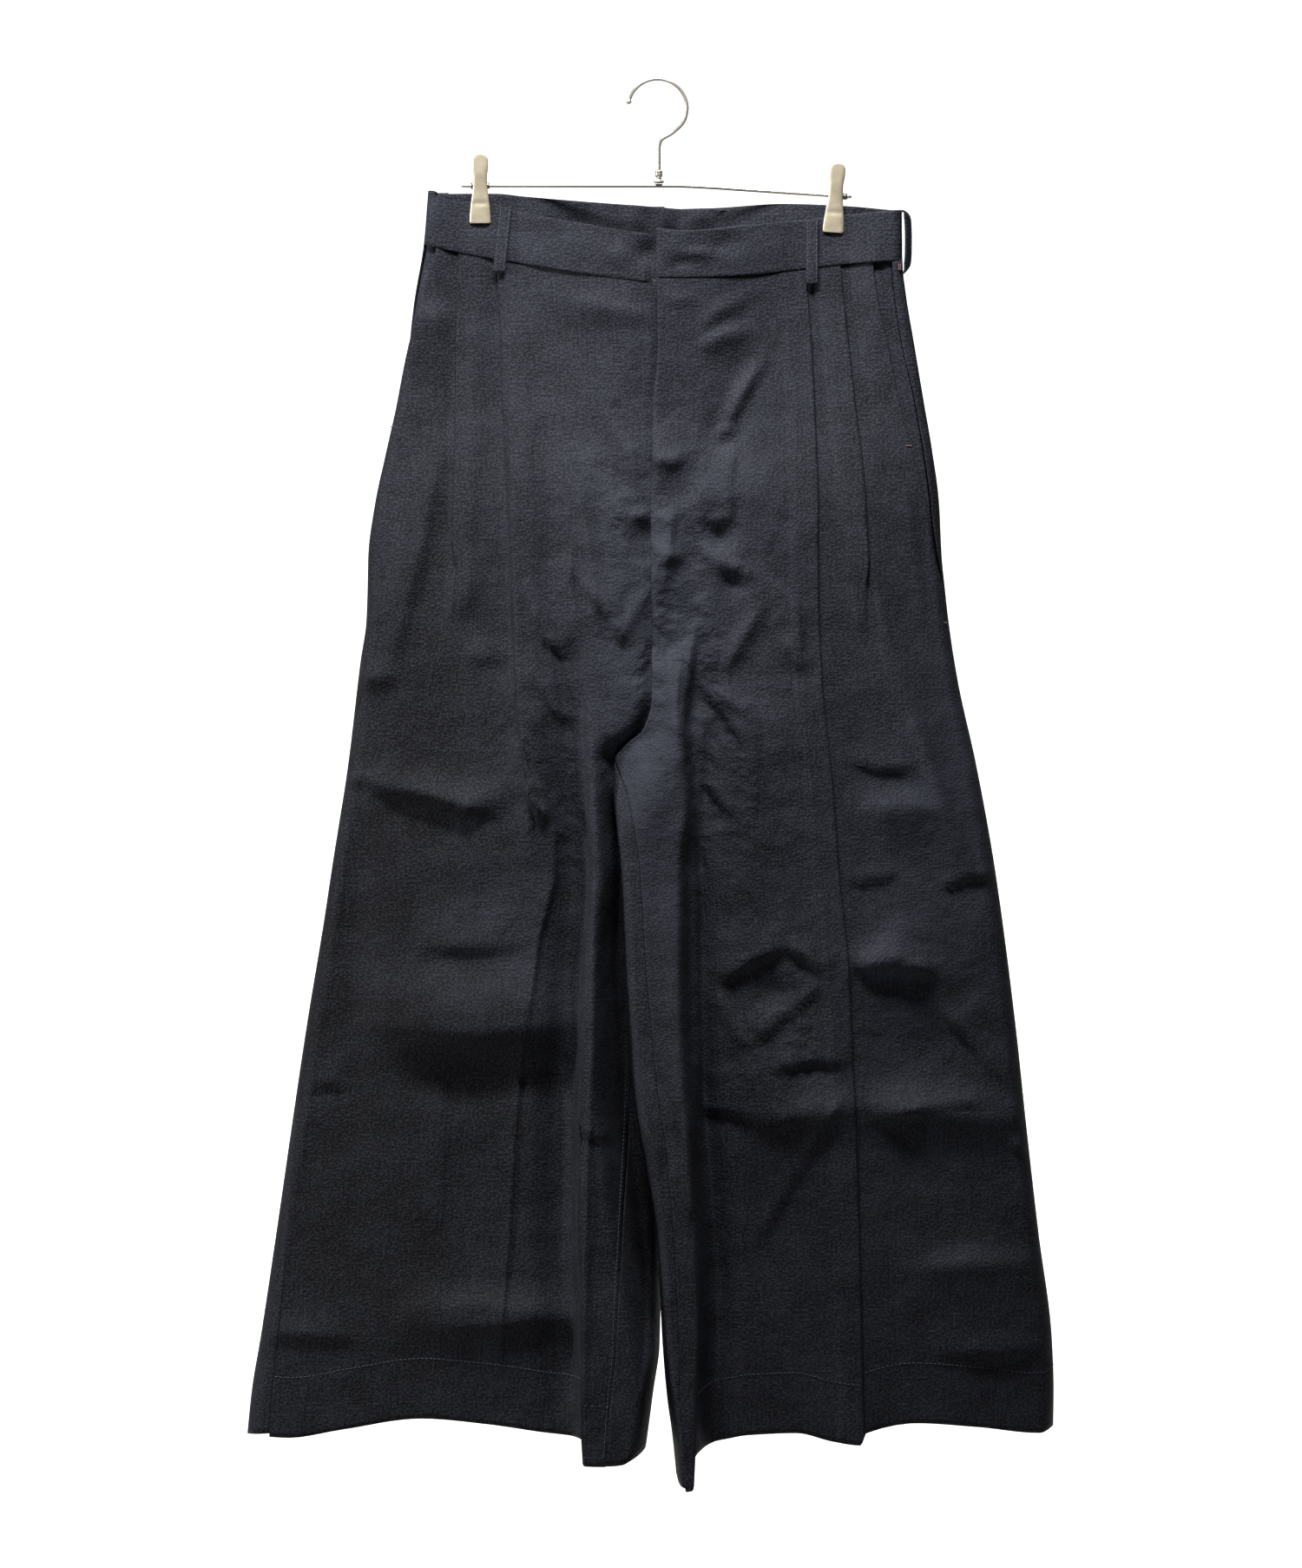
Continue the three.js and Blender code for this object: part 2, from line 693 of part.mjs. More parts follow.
// Waistband pieces, from their inner ends to the side seams and round the back.
function bandPoint(side, r, drop, push) {
  const cap = 7;
  const outer = side.edge.at("out", Math.min(drop, 130)) - 0.6 - cap;
  if (r <= outer) return [r, bandFront(side.sign * r) + push(r), -drop];
  const a = (r - outer) / cap;
  const half = 6.5;
  return [outer + cap * Math.sin(a), -half * Math.cos(a), -drop];
}
for (const [side, name, from] of [
  [LEFT, "left", -0.7],
  [RIGHT, "right", -25],
]) {
  const band = side === LEFT ? BAND_LEFT : BAND_FRONT;
  const push = (r) => (side === LEFT ? 0 : 2.8 * (1 - smooth(4, 18, r)));
  const grid = [0, 1, 2, 3].map(() => []);
  for (let j = 0; j <= 24; j++)
    for (let i = 0; i <= 3; i++) {
      const outer = side.edge.at("out", 110) - 7.6;
      const end = outer + (7 * Math.PI) / 2 - SEAM;
      const r = j < 20 ? lerp(from, outer, j / 20) : lerp(outer, end, (j - 20) / 4);
      const x = side.sign * Math.min(r, outer + 7);
      const drop = lerp(band.at("top", x), band.at("bottom", x), i / 3);
      const outerHere = side.edge.at("out", Math.min(drop, 130)) - 7.6;
      grid[i].push(bandPoint(side, r > outer ? r - outer + outerHere : r, drop, push));
    }
  add("waistband_front_" + name, wall(grid, BAND, side.sign), denim);
}
{
  const grid = [0, 1, 2, 3].map(() => []);
  const steps = 44;
  for (let j = 0; j <= steps; j++)
    for (let i = 0; i <= 3; i++) {
      const side = j < steps / 2 ? LEFT : RIGHT;
      const n = j < steps / 2 ? j : steps - j;
      const outer = (drop) => side.edge.at("out", Math.min(drop, 130)) - 7.6;
      const angle = lerp(Math.PI / 2 - SEAM / 7, 0, Math.min(n, 4) / 4);
      const share = n <= 4 ? 1 : 1 - (n - 4) / (steps / 2 - 4);
      const level = (x) => lerp(BAND_BACK.at("top", x), BAND_BACK.at("bottom", x), i / 3);
      let drop = level(side.sign * outer(110) * share);
      const u = outer(drop) * share;
      drop = level(side.sign * u);
      const point =
        n <= 4
          ? [u + 7 * Math.sin(angle), 6.5 * Math.cos(angle)]
          : [u, bandBack(side.sign * u)];
      grid[i].push([side.sign * point[0], point[1], -drop]);
    }
  add("waistband_back", wall(grid, BAND, 1), denim);
}

// Belt loops: upright strips a little off the band, deeper where they end on the pleats.
const LOOPS = {
  belt_loop_front_left: { top: [123.8, 111.7], end: [123.5, 162.4], face: -1 },
  belt_loop_front_right: { top: [-121.3, 101.3], end: [-126.3, 152.7], face: -1 },
  belt_loop_side_right: { top: [-172, 89], end: [-173.5, 140], face: 1 },
  belt_loop_back: { top: [1, 99], end: [1, 150], face: 1 },
};
for (const [name, { top, end, face }] of Object.entries(LOOPS)) {
  const grid = [];
  for (let i = 0; i <= 6; i++) {
    const row = [];
    for (let j = 0; j <= 2; j++) {
      const x = lerp(top[0], end[0], i / 6) + (j - 1) * 5 * -face;
      const drop = lerp(top[1], end[1], i / 6);
      const base = face < 0 ? bandFront(x) : bandBack(x);
      const off = BAND / 2 + SEAM + LOOP / 2 + (face < 0 ? 3.4 : 1.2) * smooth(0.55, 0.8, i / 6);
      const bulge = 1.2 * Math.sin((Math.PI * i) / 6);
      row.push([x, base + face * (off + bulge), -drop]);
    }
    grid.push(row);
  }
  add(name, wall(grid, LOOP, 1), denim);
}
// The left side loop stands out from the round end of the band.
{
  const profile = table("drop out", [
    [103.5, 196.9],
    [109, 200],
    [116, 201.8],
    [128, 202.2],
    [140, 201.6],
    [148, 200],
    [156, 198.6],
  ]);
  const grid = [];
  for (let i = 0; i <= 8; i++) {
    const drop = lerp(103.5, 156, i / 8);
    grid.push([-5, 0, 5].map((y) => [profile.at("out", drop), y, -drop]));
  }
  add("belt_loop_side_left", wall(grid, LOOP, 1), denim);
}

// Hanger. A round wire along a path of points.
function wire(points, radius, steps) {
  const curve = new THREE.CatmullRomCurve3(points.map((p) => new THREE.Vector3(...p)));
  const round = new THREE.Shape();
  round.absarc(0, 0, radius, 0, 2 * Math.PI, false);
  return new THREE.ExtrudeGeometry(round, {
    steps,
    curveSegments: 6,
    bevelEnabled: false,
    extrudePath: curve,
  });
}

const HOOK = { x: 0.3, drop: 22.1, radius: 23.6 };
{
  const path = [];
  for (let k = 0; k <= 8; k++) {
    const a = lerp(172, 0, k / 8) * (Math.PI / 180);
    path.push([HOOK.x + HOOK.radius * Math.cos(a), 0, HOOK.radius * Math.sin(a) - HOOK.drop]);
  }
  path.push([21, 0, -33], [12.5, 0, -41.5], [4.2, 0, -46.5], [1.6, 0, -52], [1.4, 0, -60]);
  path.push([1.4, 0, -71.2]);
  add("hanger_hook", wire(path, WIRE, 32), steel);
}
{
  // Ferrule, its collar and the disc over the rod, as radius and drop.
  const profile = [
    [0, 71.5],
    [2.6, 71.5],
    [3, 72.2],
    [3, 76.6],
    [1.9, 77.2],
    [1.9, 79.2],
    [4.2, 79.6],
    [4.2, 81.2],
    [3.6, 81.9],
    [0, 81.9],
  ].map(([r, d]) => new THREE.Vector2(r, -d));
  profile.reverse();
  const lathe = new THREE.LatheGeometry(profile, 20);
  lathe.rotateX(Math.PI / 2);
  lathe.translate(1.4, 0, 0);
  add("hanger_ferrule", lathe, steel);
}
const ROD = table("across drop", [
  [-157, 83.8],
  [2, 83.8],
  [30, 84.4],
  [71, 87],
  [155.5, 92.7],
]);
add(
  "hanger_rod",
  wire(
    [-157, -80, 2, 30, 71, 110, 155.5].map((x) => [x, 0, -ROD.at("drop", x)]),
    WIRE,
    16,
  ),
  steel,
);

// Clip jaws: outline by drop and half width, a flat plate with a round top.
const JAW = [
  [0, 2.4],
  [1.6, 4.8],
  [4.5, 6],
  [9, 6],
  [18, 5.5],
  [30, 5.3],
  [38, 6.2],
  [46, 8],
  [54.5, 8],
  [55, 7.6],
];
function jaw(tilt, x, drop, face, lean) {
  const shape = new THREE.Shape();
  JAW.forEach(([d, w], i) => (i ? shape.lineTo(w, -d) : shape.moveTo(w, -d)));
  [...JAW].reverse().forEach(([d, w]) => shape.lineTo(-w, -d));
  const plate = new THREE.ExtrudeGeometry(shape, { depth: 2.2, bevelEnabled: false, steps: 1 });
  plate.rotateX(Math.PI / 2);
  plate.rotateZ(0);
  if (face > 0) plate.translate(0, 5.2, 0);
  else plate.translate(0, -3, 0);
  const position = plate.getAttribute("position");
  for (let i = 0; i < position.count; i++) {
    const d = -position.getZ(i);
    const out = lean * (1 - smooth(14, 34, d)) ** 2;
    position.setY(i, position.getY(i) + face * out);
  }
  plate.rotateY(tilt);
  plate.translate(x, 0, -drop);
  return plate;
}
const CLIPS = {
  clip_right: { x: CLIP_RIGHT, drop: 59, tilt: 0 },
  clip_left: { x: CLIP_LEFT + 2.6, drop: 66.5, tilt: 0.075 },
};
for (const [name, { x, drop, tilt }] of Object.entries(CLIPS)) {
  add(name + "_front", jaw(tilt, x, drop, -1, 1.2), satin);
  add(name + "_back", jaw(tilt, x, drop, 1, 3.5), satin);
  // Sleeve round the rod between the jaws.
  const shape = new THREE.Shape();
  shape.absarc(0, 0, 2.65, 0, 2 * Math.PI, false);
  const hole = new THREE.Path();
  hole.absarc(0, 0, WIRE + 0.3, 0, 2 * Math.PI, true);
  shape.holes.push(hole);
  const sleeve = new THREE.ExtrudeGeometry(shape, {
    depth: 15,
    bevelEnabled: false,
    curveSegments: 8,
  });
  sleeve.rotateY(Math.PI / 2);
  const slope = Math.atan((ROD.at("drop", x + 7.5) - ROD.at("drop", x - 7.5)) / 15);
  sleeve.translate(-7.5, 0, 0);
  sleeve.rotateY(slope);
  sleeve.translate(x, 0, -ROD.at("drop", x));
  add(name + "_sleeve", sleeve, satin);
}

export default group;
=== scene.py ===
"""Wide-leg pleated jeans on a clip hanger: cloth, sewing and finishes.

Lengths are in millimetres until a mesh is made. X runs to the wearer's left, Y to the
wearer's back, and a drop is a distance below the hook's inner top.
"""

import math

import bpy
import numpy as np
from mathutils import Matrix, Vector


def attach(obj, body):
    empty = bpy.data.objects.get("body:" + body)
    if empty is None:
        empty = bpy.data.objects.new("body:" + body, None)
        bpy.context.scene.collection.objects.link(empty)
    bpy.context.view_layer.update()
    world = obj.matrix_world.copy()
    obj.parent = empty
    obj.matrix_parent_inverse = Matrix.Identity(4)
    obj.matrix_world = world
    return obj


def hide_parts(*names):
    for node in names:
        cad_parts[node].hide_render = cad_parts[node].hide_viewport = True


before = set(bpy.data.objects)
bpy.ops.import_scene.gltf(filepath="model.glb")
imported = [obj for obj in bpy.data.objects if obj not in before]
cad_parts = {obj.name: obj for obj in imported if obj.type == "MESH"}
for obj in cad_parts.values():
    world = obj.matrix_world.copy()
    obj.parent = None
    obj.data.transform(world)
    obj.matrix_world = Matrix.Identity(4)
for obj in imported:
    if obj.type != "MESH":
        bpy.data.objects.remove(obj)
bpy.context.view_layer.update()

MM = 0.001
# Walls of the leg cloth, the folded waistband, a belt loop and a clip's jaw.
CLOTH = 1.1
BAND = 2.4
LOOP = 1.2
JAW_PLATE = 0.8
# Gap between two panels, spacing of a pleat's layers, and where the legs part.
SEAM = 0.16
LAYER = 1.7
CROTCH = 541.0
# Depth at which each panel runs up to the next one at the crotch.
MEET = {"front_left": -48.5, "front_right": -42, "back_left": -42, "back_right": -31}
# Where the cloth of each half lies in the pattern of its threads and crumples.
PATTERN = {"left": 1910.0, "right": 3370.0}
# Half width of the hanger's wire, and the lift of a bar tack's place off its panel.
WIRE = 1.5
TACK_LIFT = [0, -0.7, 0]
# Radius of the waistband's round ends, their half depth, and how far inside the leg's
# widest line they turn.
BAND_TURN = 7
BAND_END = 6.5
BAND_INSET = 7.6
# Stitches: pitch, length and thread radius, on panels and on belt loops.
PANEL_STITCH = (3.4, 2.3, 0.27)
LOOP_STITCH = (3.0, 2.1, 0.22)
# Height of the hem's stitches above its edge.
HEM_HEIGHT = 48


# --- Curves through short tables -------------------------------------------------


def rows_of(text):
    """The rows of a text table, below its line of names."""
    return [tuple(map(float, row.split())) for row in text.strip().splitlines()[1:]]


def lines_of(text):
    """Rows of lines and their sizes: points as across,drop, a colon and the sizes."""
    rows = []
    for row in text.strip().splitlines()[1:]:
        points, sizes = row.split(":")
        line = [tuple(map(float, point.split(","))) for point in points.split()]
        rows.append((line, *map(float, sizes.split())))
    return rows


class Table:
    """Named columns. at() runs a smooth curve that never overshoots its rows."""

    def __init__(self, text):
        keys = text.strip().splitlines()[0].split()
        values = np.array(rows_of(text))
        self.x = values[:, 0]
        self.columns = {k: values[:, i] for i, k in enumerate(keys)}
        self.slopes = {k: self._slopes(self.columns[k]) for k in keys[1:]}

    def _slopes(self, y):
        step = np.diff(y) / np.diff(self.x)
        before, after = step[:-1], step[1:]
        product = before * after
        total = np.where(np.abs(before + after) > 1e-12, before + after, 1.0)
        inner = np.where(product > 0, 2 * product / total, 0.0)
        return np.concatenate([[step[0]], inner, [step[-1]]])

    def at(self, key, x):
        x = np.clip(np.asarray(x, float), self.x[0], self.x[-1])
        i = np.clip(np.searchsorted(self.x, x, side="right") - 1, 0, len(self.x) - 2)
        width = self.x[i + 1] - self.x[i]
        t = (x - self.x[i]) / width
        y, m = self.columns[key], self.slopes[key]
        blend = t * t * (3 - 2 * t)
        bend = m[i] * width * t * (1 - t) ** 2 - m[i + 1] * width * t * t * (1 - t)
        return y[i] + (y[i + 1] - y[i]) * blend + bend


def mix(a, b, t):
    return a + (b - a) * t


def smooth(a, b, x):
    """0 up to a, 1 from b, and a smooth cubic step between."""
    t = np.clip((np.asarray(x, float) - a) / (b - a), 0, 1)
    return t * t * (3 - 2 * t)


def bell(x, centre, width):
    """A bump of height 1 that falls to a third at one width from its centre."""
    return np.exp(-(((x - centre) / width) ** 2))


# --- The body of the garment, as the frame has it ---------------------------------

# One leg, measured across from the centre line. edge: the outer edge, the radius of its
# turn, and where the front and back panels end, along the cloth from the turn's widest
# point. centre: the centre seam. inner: the inner edge, the radius of its turn and the
# inseam's place, along the cloth. flute: the inner flute's crest, the place where the
# plain cloth begins again, its rise and the depth of the valley beside it. hem: the
# drop of each face's lower edge.
LEFT = {
    "name": "left",
    "sign": 1,
    "edge": Table("""
    drop out cap seam back
    88 195 7 -27 -12
    147 195.8 7 -27 -12
    171 198.5 7.5 -27 -13
    213 205.5 9 -26 -14.5
    255 212.5 9.5 -25 -12
    296 219.5 10 -22 -12.3
    338 225 10.5 -16.5 -12.5
    380 227 11 -12 -8
    405 229.5 11 -6 -4
    432 232.5 11.5 -3 -3
    480 240 12 3 3
    546 254.5 12.5 5 5
    629 269.5 13 6 6
    754 286 13.5 6 6
    838 295 14 6 6
    921 304.5 14 6 6
    1004 315 14 6 6
    1046 316.5 14 6 6
    1080 316 14 6 6
    """),
    "centre": Table("""
    drop front back
    150 -0.7 1
    213 0.5 1
    273 -4 1
    338 -5 1
    493 -4 0
    518 -10.5 -8
    530 -24 -22
    541 -34 -34
    """),
    "inner": Table("""
    drop inner turn inseam
    541 -34 3 0
    555 -34 5 7
    570 -34 7 14
    595 -32 8 18
    629 -29 8 20
    709 -25 8 21
    786 -21 8 24
    838 -14 8 24
    867 -8.5 8 22
    921 0 8 18
    1010 5 8 17.5
    1046 8 8 15
    1080 12.5 7 13
    1125 17 5 8
    """),
    "flute": Table("""
    drop crest next rise valley
    150 40 70 0 0
    435 30.5 62 0 0
    470 25 52 2 0
    511 19 44 5 1
    574 22 42 12 4
    629 17 38 15 9
    715 17 37 18 13
    772 19 46 20 14
    838 24 47 22 14
    921 30 47 22 14
    994 32.6 47 20 13
    1064 30 47 17 12
    1124 30 47 14 12
    """),
    "hem": Table("""
    across front back
    12 1106 1106
    15.5 1110 1110
    17.5 1117 1116
    20.5 1121 1119
    24 1122.5 1120
    28 1121.5 1108
    29.2 1118 1098
    30 1094.5 1093
    33 1091 1088
    41 1086 1080
    50 1083 1075
    72 1078.6 1072
    110 1077 1070
    140 1084 1068
    162 1087 1068
    165 1078 1068
    205 1070 1066
    255 1073.6 1067
    305 1079 1074
    316 1074 1074
    """),
}

RIGHT = {
    "name": "right",
    "sign": -1,
    "edge": Table("""
    drop out cap seam back
    88 182.5 7 -14 -2
    130 186 7 -14 -2
    171 193 7.5 -10 1
    213 200 9 -5 6
    255 207 9.5 0 10
    296 216 10 3 12
    338 225 10.5 5 12
    380 230.5 11 6 10
    405 231 11 6 8
    432 232 11.5 6 6
    463 236.5 12 6 6
    546 246.5 12.5 5 5
    629 259.5 13 2 2
    671 265.8 13.3 -1 -1
    754 279.5 14 -6 -6
    838 292 14 -12 -12
    921 304 14 -18 -18
    1004 316.5 14 -23 -23
    1046 323.5 14 -25 -25
    1080 327 14 -26 -26
    """),
    "centre": Table("""
    drop front back
    150 -4.3 -1
    213 -5.5 -1
    273 -1 -1
    338 0 -1
    493 -1 0
    518 9 8
    530 22 22
    541 31 31
    """),
    "inner": Table("""
    drop inner turn inseam
    541 31 3 0
    555 28 5 6
    570 24 7 10
    595 15 10 15
    629 10 12 20
    709 5 12 24
    786 0 12 28
    838 -2 12 32
    921 -3 12 38
    1010 -1.5 12 41
    1046 3.5 12 40
    1080 8 12 38
    1108 12 12 36
    """),
    "flute": Table("""
    drop crest next rise valley
    150 60 84 0 0
    430 64 86 0 0
    466 56 84 3 2
    520 53 82 7 6
    598 51 81 12 11
    629 49 81 14 12
    693 54 94 16 12
    756 57.6 101 19 12
    811 61 110 21 11
    915 62.5 116 22 8
    979 60 121 22 6
    1028 60 125 22 5
    1105 60 128 20 4
    """),
    "hem": Table("""
    across front back
    8 1089 1089
    19 1096 1096
    28 1101.4 1101
    40 1102.4 1102
    46 1102.4 1100
    57.6 1102 1084
    59 1100 1081
    59.9 1080.5 1078
    65 1079.5 1074.5
    86 1077 1069
    136 1070 1067
    186 1066 1065
    252 1075.7 1069
    294 1082.6 1078
    327 1080.5 1080.5
    """),
}

DEPTH = Table("""
    drop front back
    150 20 16
    255 26 22
    338 36 30
    421 43 38
    541 50 44
    671 54 48
    838 58 52
    1100 64 56
    """)
RECESS = Table("""
    drop start width depth
    470 0 30 0
    512 1 14 0
    541 1 14 5
    600 2 17 34
    700 3 20 44
    800 8 28 54
    900 22 28 56
    980 34 24 50
    1046 44 20 24
    1108 46 18 16
    """)
LAP = Table("""
    drop push reach
    90 2.8 16
    160 2.8 12
    180 3.2 6
    400 3.4 5
    450 4 9
    520 4.5 8
    541 3 7
    570 0 9
    """)
BAND_RIGHT_LINE = Table("""
    across top bottom
    -186 88 130.5
    -182 88 131.5
    -166 95.5 135.5
    -134 98 141.5
    -111 104.5 145.5
    -57 115 154.5
    -3 124 162
    25 127 165
    """)
BAND_LEFT_LINE = Table("""
    across top bottom
    -1 118.7 158.5
    21 120.8 158.5
    65 116.6 156.5
    118 111 150.6
    150 107 147
    195 103.5 144
    """)
BAND_BACK_LINE = Table("""
    across top bottom
    -186 88 130.5
    -163 90 131
    -130 90 132
    -105 92.3 133.5
    -55 95.8 137
    -5 99 140
    20 101 142
    45 100.6 141.6
    99 98 139
    153 100 141
    195 103.5 144
    """)
PLEATS = {
    "right_outer": Table("""
    drop across tuck open
    150 157.5 12 0
    189 159 12 0
    273 160 11 0
    352 161.5 9 0
    400 163 8 0.5
    440 164 7 1
    """),
    "right_inner": Table("""
    drop across tuck open
    150 126.5 14 0
    209 123.5 14 0
    289 121 14 0
    368 116 13 0
    421 114.5 12 0
    491 111 10 0
    530 107.5 9 0.1
    575 104 8 0.5
    612 98 8 1
    640 94 8 1
    700 104 8 1
    820 118 8 1
    908 124 8 1
    1080 134 8 1
    """),
    "left_inner": Table("""
    drop across tuck open
    150 117.5 14 0
    209 122 14 0
    273 125 14 0
    337 127 14 0
    400 127 14 0
    480 130 14 0
    554 137.4 13 0
    643 144.4 13 0
    704 150.6 12 0
    775 154 12 0
    842 157 12 0
    952 160 12 0
    1085 163 12 0
    """),
    "left_outer": Table("""
    drop across tuck open
    150 145.5 12 0
    199 150.6 12 0
    260 157 12 0
    321 164 11 0
    369 166.6 9 0
    416 171 8 0.5
    455 176 7 1
    543 190 7 1
    620 200 7 1
    1080 215 7 1
    """),
}
# Soft waves of the back panels: where they are at the hem, their height and width.
WAVES = [(95, 9, 30), (165, -8, 34), (235, 8, 28)]

# Creases: points of the centre line, width, height of the ridge, and depth of the
# trough on the side away from the light.
CREASES = {
    "left": lines_of("""
    points : width ridge trough
    31,435 19,511 22,574 : 5 5 3
    34,484 54,506 71,530 : 4.5 2.5 4
    36,515 37,560 : 4.5 1.5 3.5
    38,560 62,588 : 4.5 2.5 4
    45,489 76,509 : 5 3.5 1
    78,511 76,619 : 5 1 2.6
    62,292 56,320 59,359 : 7 1.6 2
    -3,457 14,448 30,436 : 2 0.8 1.2
    103,324 85,380 81,435 : 14 1.4 1.2
    14,341 9,380 3,421 : 6 3 1.5
    49,720 76,701 102,691 : 5 3.6 4.6
    102,691 119,699 133,714 : 5 3.6 4.2
    48,727 62,754 71,772 : 5 3.4 3.6
    71,772 99,747 133,718 : 6 3 3.4
    92,788 124,781 152,784 : 5 3.4 3.6
    31,820 56,821 80,829 : 4 2.5 2.5
    151,806 110,872 71,939 : 5 2.6 1.4
    151,644 171,636 192,634 : 4.5 2.6 3.2
    155,703 189,711 226,707 : 5.5 2.8 3.8
    151,541 176,550 205,548 : 5.5 2.4 3
    173,831 217,818 271,814 : 6 3.2 3.6
    226,645 248,635 271,636 : 5 2.8 3
    226,740 252,768 279,806 : 6 3 3
    169,434 196,494 221,554 248,629 : 9 4.2 2.2
    -6,793 8,817 17,838 : 4 2.6 3.2
    -12,831 0,849 3,872 : 4 2 2.6
    200,324 205,380 213,435 : 7 2 1.4
    85,393 110,421 117,463 : 8 2.6 3.4
    """),
    "right": lines_of("""
    points : width ridge trough
    -226,564 -178,573 -124,589 : 7 3.4 4.2
    -199,768 -137,779 -74,793 : 12 2.5 3.5
    -276,804 -262,800 -248,803 : 5 2.6 3
    -249,564 -239,558 -227,560 : 5 2.2 2.6
    -107,560 -99,577 -83,591 : 5 4 3
    -83,589 -81,634 -94,682 -99,722 -105,758 : 5 3.2 2.6
    -105,758 -112,820 -117,908 -126,1028 : 3.2 1.5 0.9
    -59,402 -40,425 -21,455 : 6 3.6 2.4
    -71,380 -67,414 -59,448 : 7 2.4 3.2
    -40,324 -24,352 -10,380 : 8 2.6 3.4
    -87,446 -81,491 -77,532 : 6 2 3
    -102,414 -90,446 -66,463 : 6 2.6 3.4
    -95,477 -81,505 -62,516 : 5 2 2.6
    -40,546 -35,602 -40,664 : 5 2 1
    -205,982 -137,976 -71,985 : 14 2.4 2.4
    -175,786 -170,858 -177,935 : 12 1.6 1.4
    -145,380 -142,435 -145,491 : 8 2 1.6
    -62,835 -46,842 -35,835 : 4 2.4 2.8
    -199,324 -205,380 -212,435 : 9 2 1.6
    """),
    "rear": lines_of("""
    points : width ridge trough
    -60,250 -90,330 -105,420 : 12 2.6 3
    58,240 92,320 112,415 : 12 2.6 3
    -6,420 -50,470 -110,500 : 8 3 3.6
    20,430 60,480 118,512 : 8 3 3.4
    -20,470 -62,540 -84,620 : 9 2.8 3.4
    60,500 84,570 92,660 : 9 2.6 3
    -240,600 -180,622 -120,612 : 8 3 3.6
    130,640 190,628 250,648 : 8 2.8 3.4
    -150,760 -100,744 -52,762 : 8 2.8 3
    90,800 150,782 205,806 : 8 2.6 3.2
    -230,880 -185,900 -130,890 : 10 2.4 2.8
    210,900 160,960 120,1010 : 9 2.2 2.4
    """),
}
# Broad shelves: points of the crest line, run of the slope that faces the light, run
# of the slope that turns away, and height of the crest.
SHELVES = {
    "right": lines_of("""
    points : above below height
    -230,752 -150,760 -50,750 : 60 58 8
    -190,690 -150,691 -110,688 : 45 13 4
    -230,560 -178,573 -155,582 -135,575 -105,562 : 26 14 4
    -200,992 -140,990 -62,984 : 34 24 5
    -314,1000 -290,1000 -240,1002 : 20 14 3
    -82,174 -45,180 -6,188 : 16 24 3.5
    -204,186 -160,188 : 16 60 3
    -172,292 -188,372 -213,470 : 30 12 4
    -62,320 -52,385 -46,440 : 12 6 3
    -8,410 -20,430 -34,452 : 14 8 3
    -28,347 -3,349 : 10 17 4
    -40,268 -20,300 -14,330 : 16 8 2.5
    -150,455 -140,462 -128,452 : 20 14 2.5
    -250,470 -225,478 -205,476 : 20 16 3
    -119,180 -115,330 -111,470 -101,620 : 5 36 3
    -126,180 -121,330 -117,470 -107,620 : 34 7 -3
    -164,180 -166,330 -170,440 : 34 7 -2.5
    -49,600 -51,760 -56,900 -58,1060 : 4 5 2
    """),
    "left": lines_of("""
    points : above below height
    2,174 16,176 30,172 : 12 9 2.5
    36,198 50,184 80,168 : 14 12 3
    34,214 52,204 74,198 : 10 28 4
    86,222 68,250 50,286 : 13 10 4
    -3,303 10,306 27,300 : 12 9 3
    46,281 64,279 : 7 13 3
    0,383 22,380 : 13 8 3
    0,352 14,349 : 7 13 2.5
    41,352 58,349 : 7 19 3.5
    36,371 55,388 78,397 : 10 14 4
    84,420 66,450 48,482 : 16 12 3
    158,330 182,440 206,505 240,625 : 14 26 4
    72,831 110,824 152,820 : 26 34 6
    152,709 190,701 234,718 : 26 26 5
    152,816 215,824 292,830 : 30 36 7
    155,585 190,580 226,584 : 20 44 4
    200,948 250,944 305,945 : 20 40 4
    222,1012 270,1014 312,1008 : 26 16 3.5
    282,850 300,846 : 9 11 2.5
    98,448 112,466 126,462 : 30 16 3.5
    19,452 15,500 17,556 : 42 12 6
    -4,459 14,450 32,434 : 30 30 -2.2
    22,552 30,640 32,770 26,900 : 34 9 6
    0,186 -1,300 -1,420 -1,498 : 4 14 1.5
    """),
    "rear": lines_of("""
    points : above below height
    -190,640 -130,650 -70,644 : 40 36 6
    80,690 140,682 220,694 : 40 34 6
    -210,800 -150,812 -80,804 : 34 34 6
    100,850 170,842 250,852 : 34 34 6
    -220,985 -140,980 -70,990 : 34 24 5
    90,980 160,990 240,984 : 34 24 5
    -120,200 -60,196 -20,204 : 20 26 3
    20,204 70,198 130,204 : 20 26 3
    """),
}
# Broad swells and hollows: across, drop, half widths, height.
SWELLS = {
    "front": rows_of("""
    across drop wide high height
    -161 734 66 29 7
    -137 793 62 21 -5
    -140 994 69 28 5
    -192 421 42 62 4
    -46 421 28 35 6
    -14 369 10 18 -4
    53 281 14 15 -5
    48 364 11 17 -5.5
    60 402 10 12 -4
    114 464 15 21 -4
    9 303 12 17 4
    13 383 11 21 4
    71 324 21 28 4
    85 532 28 35 4
    92 728 24 18 -6
    -4 572 20 30 8
    85 803 35 21 4
    210 768 42 28 -4
    276 976 30 31 4
    196 685 31 21 4
    99 921 42 49 -4
    -40 171 28 10 1.5
    -10 300 6 150 -1.8
    -240 700 14 110 -5
    """),
    "rear": rows_of("""
    across drop wide high height
    -85 330 40 60 5
    88 325 40 62 5
    -150 560 50 40 -4
    160 570 46 38 -4
    -120 700 50 30 5
    130 730 50 30 5
    -200 820 40 40 -4
    215 850 40 40 -4
    -140 960 60 30 4
    150 990 60 30 4
    """),
}

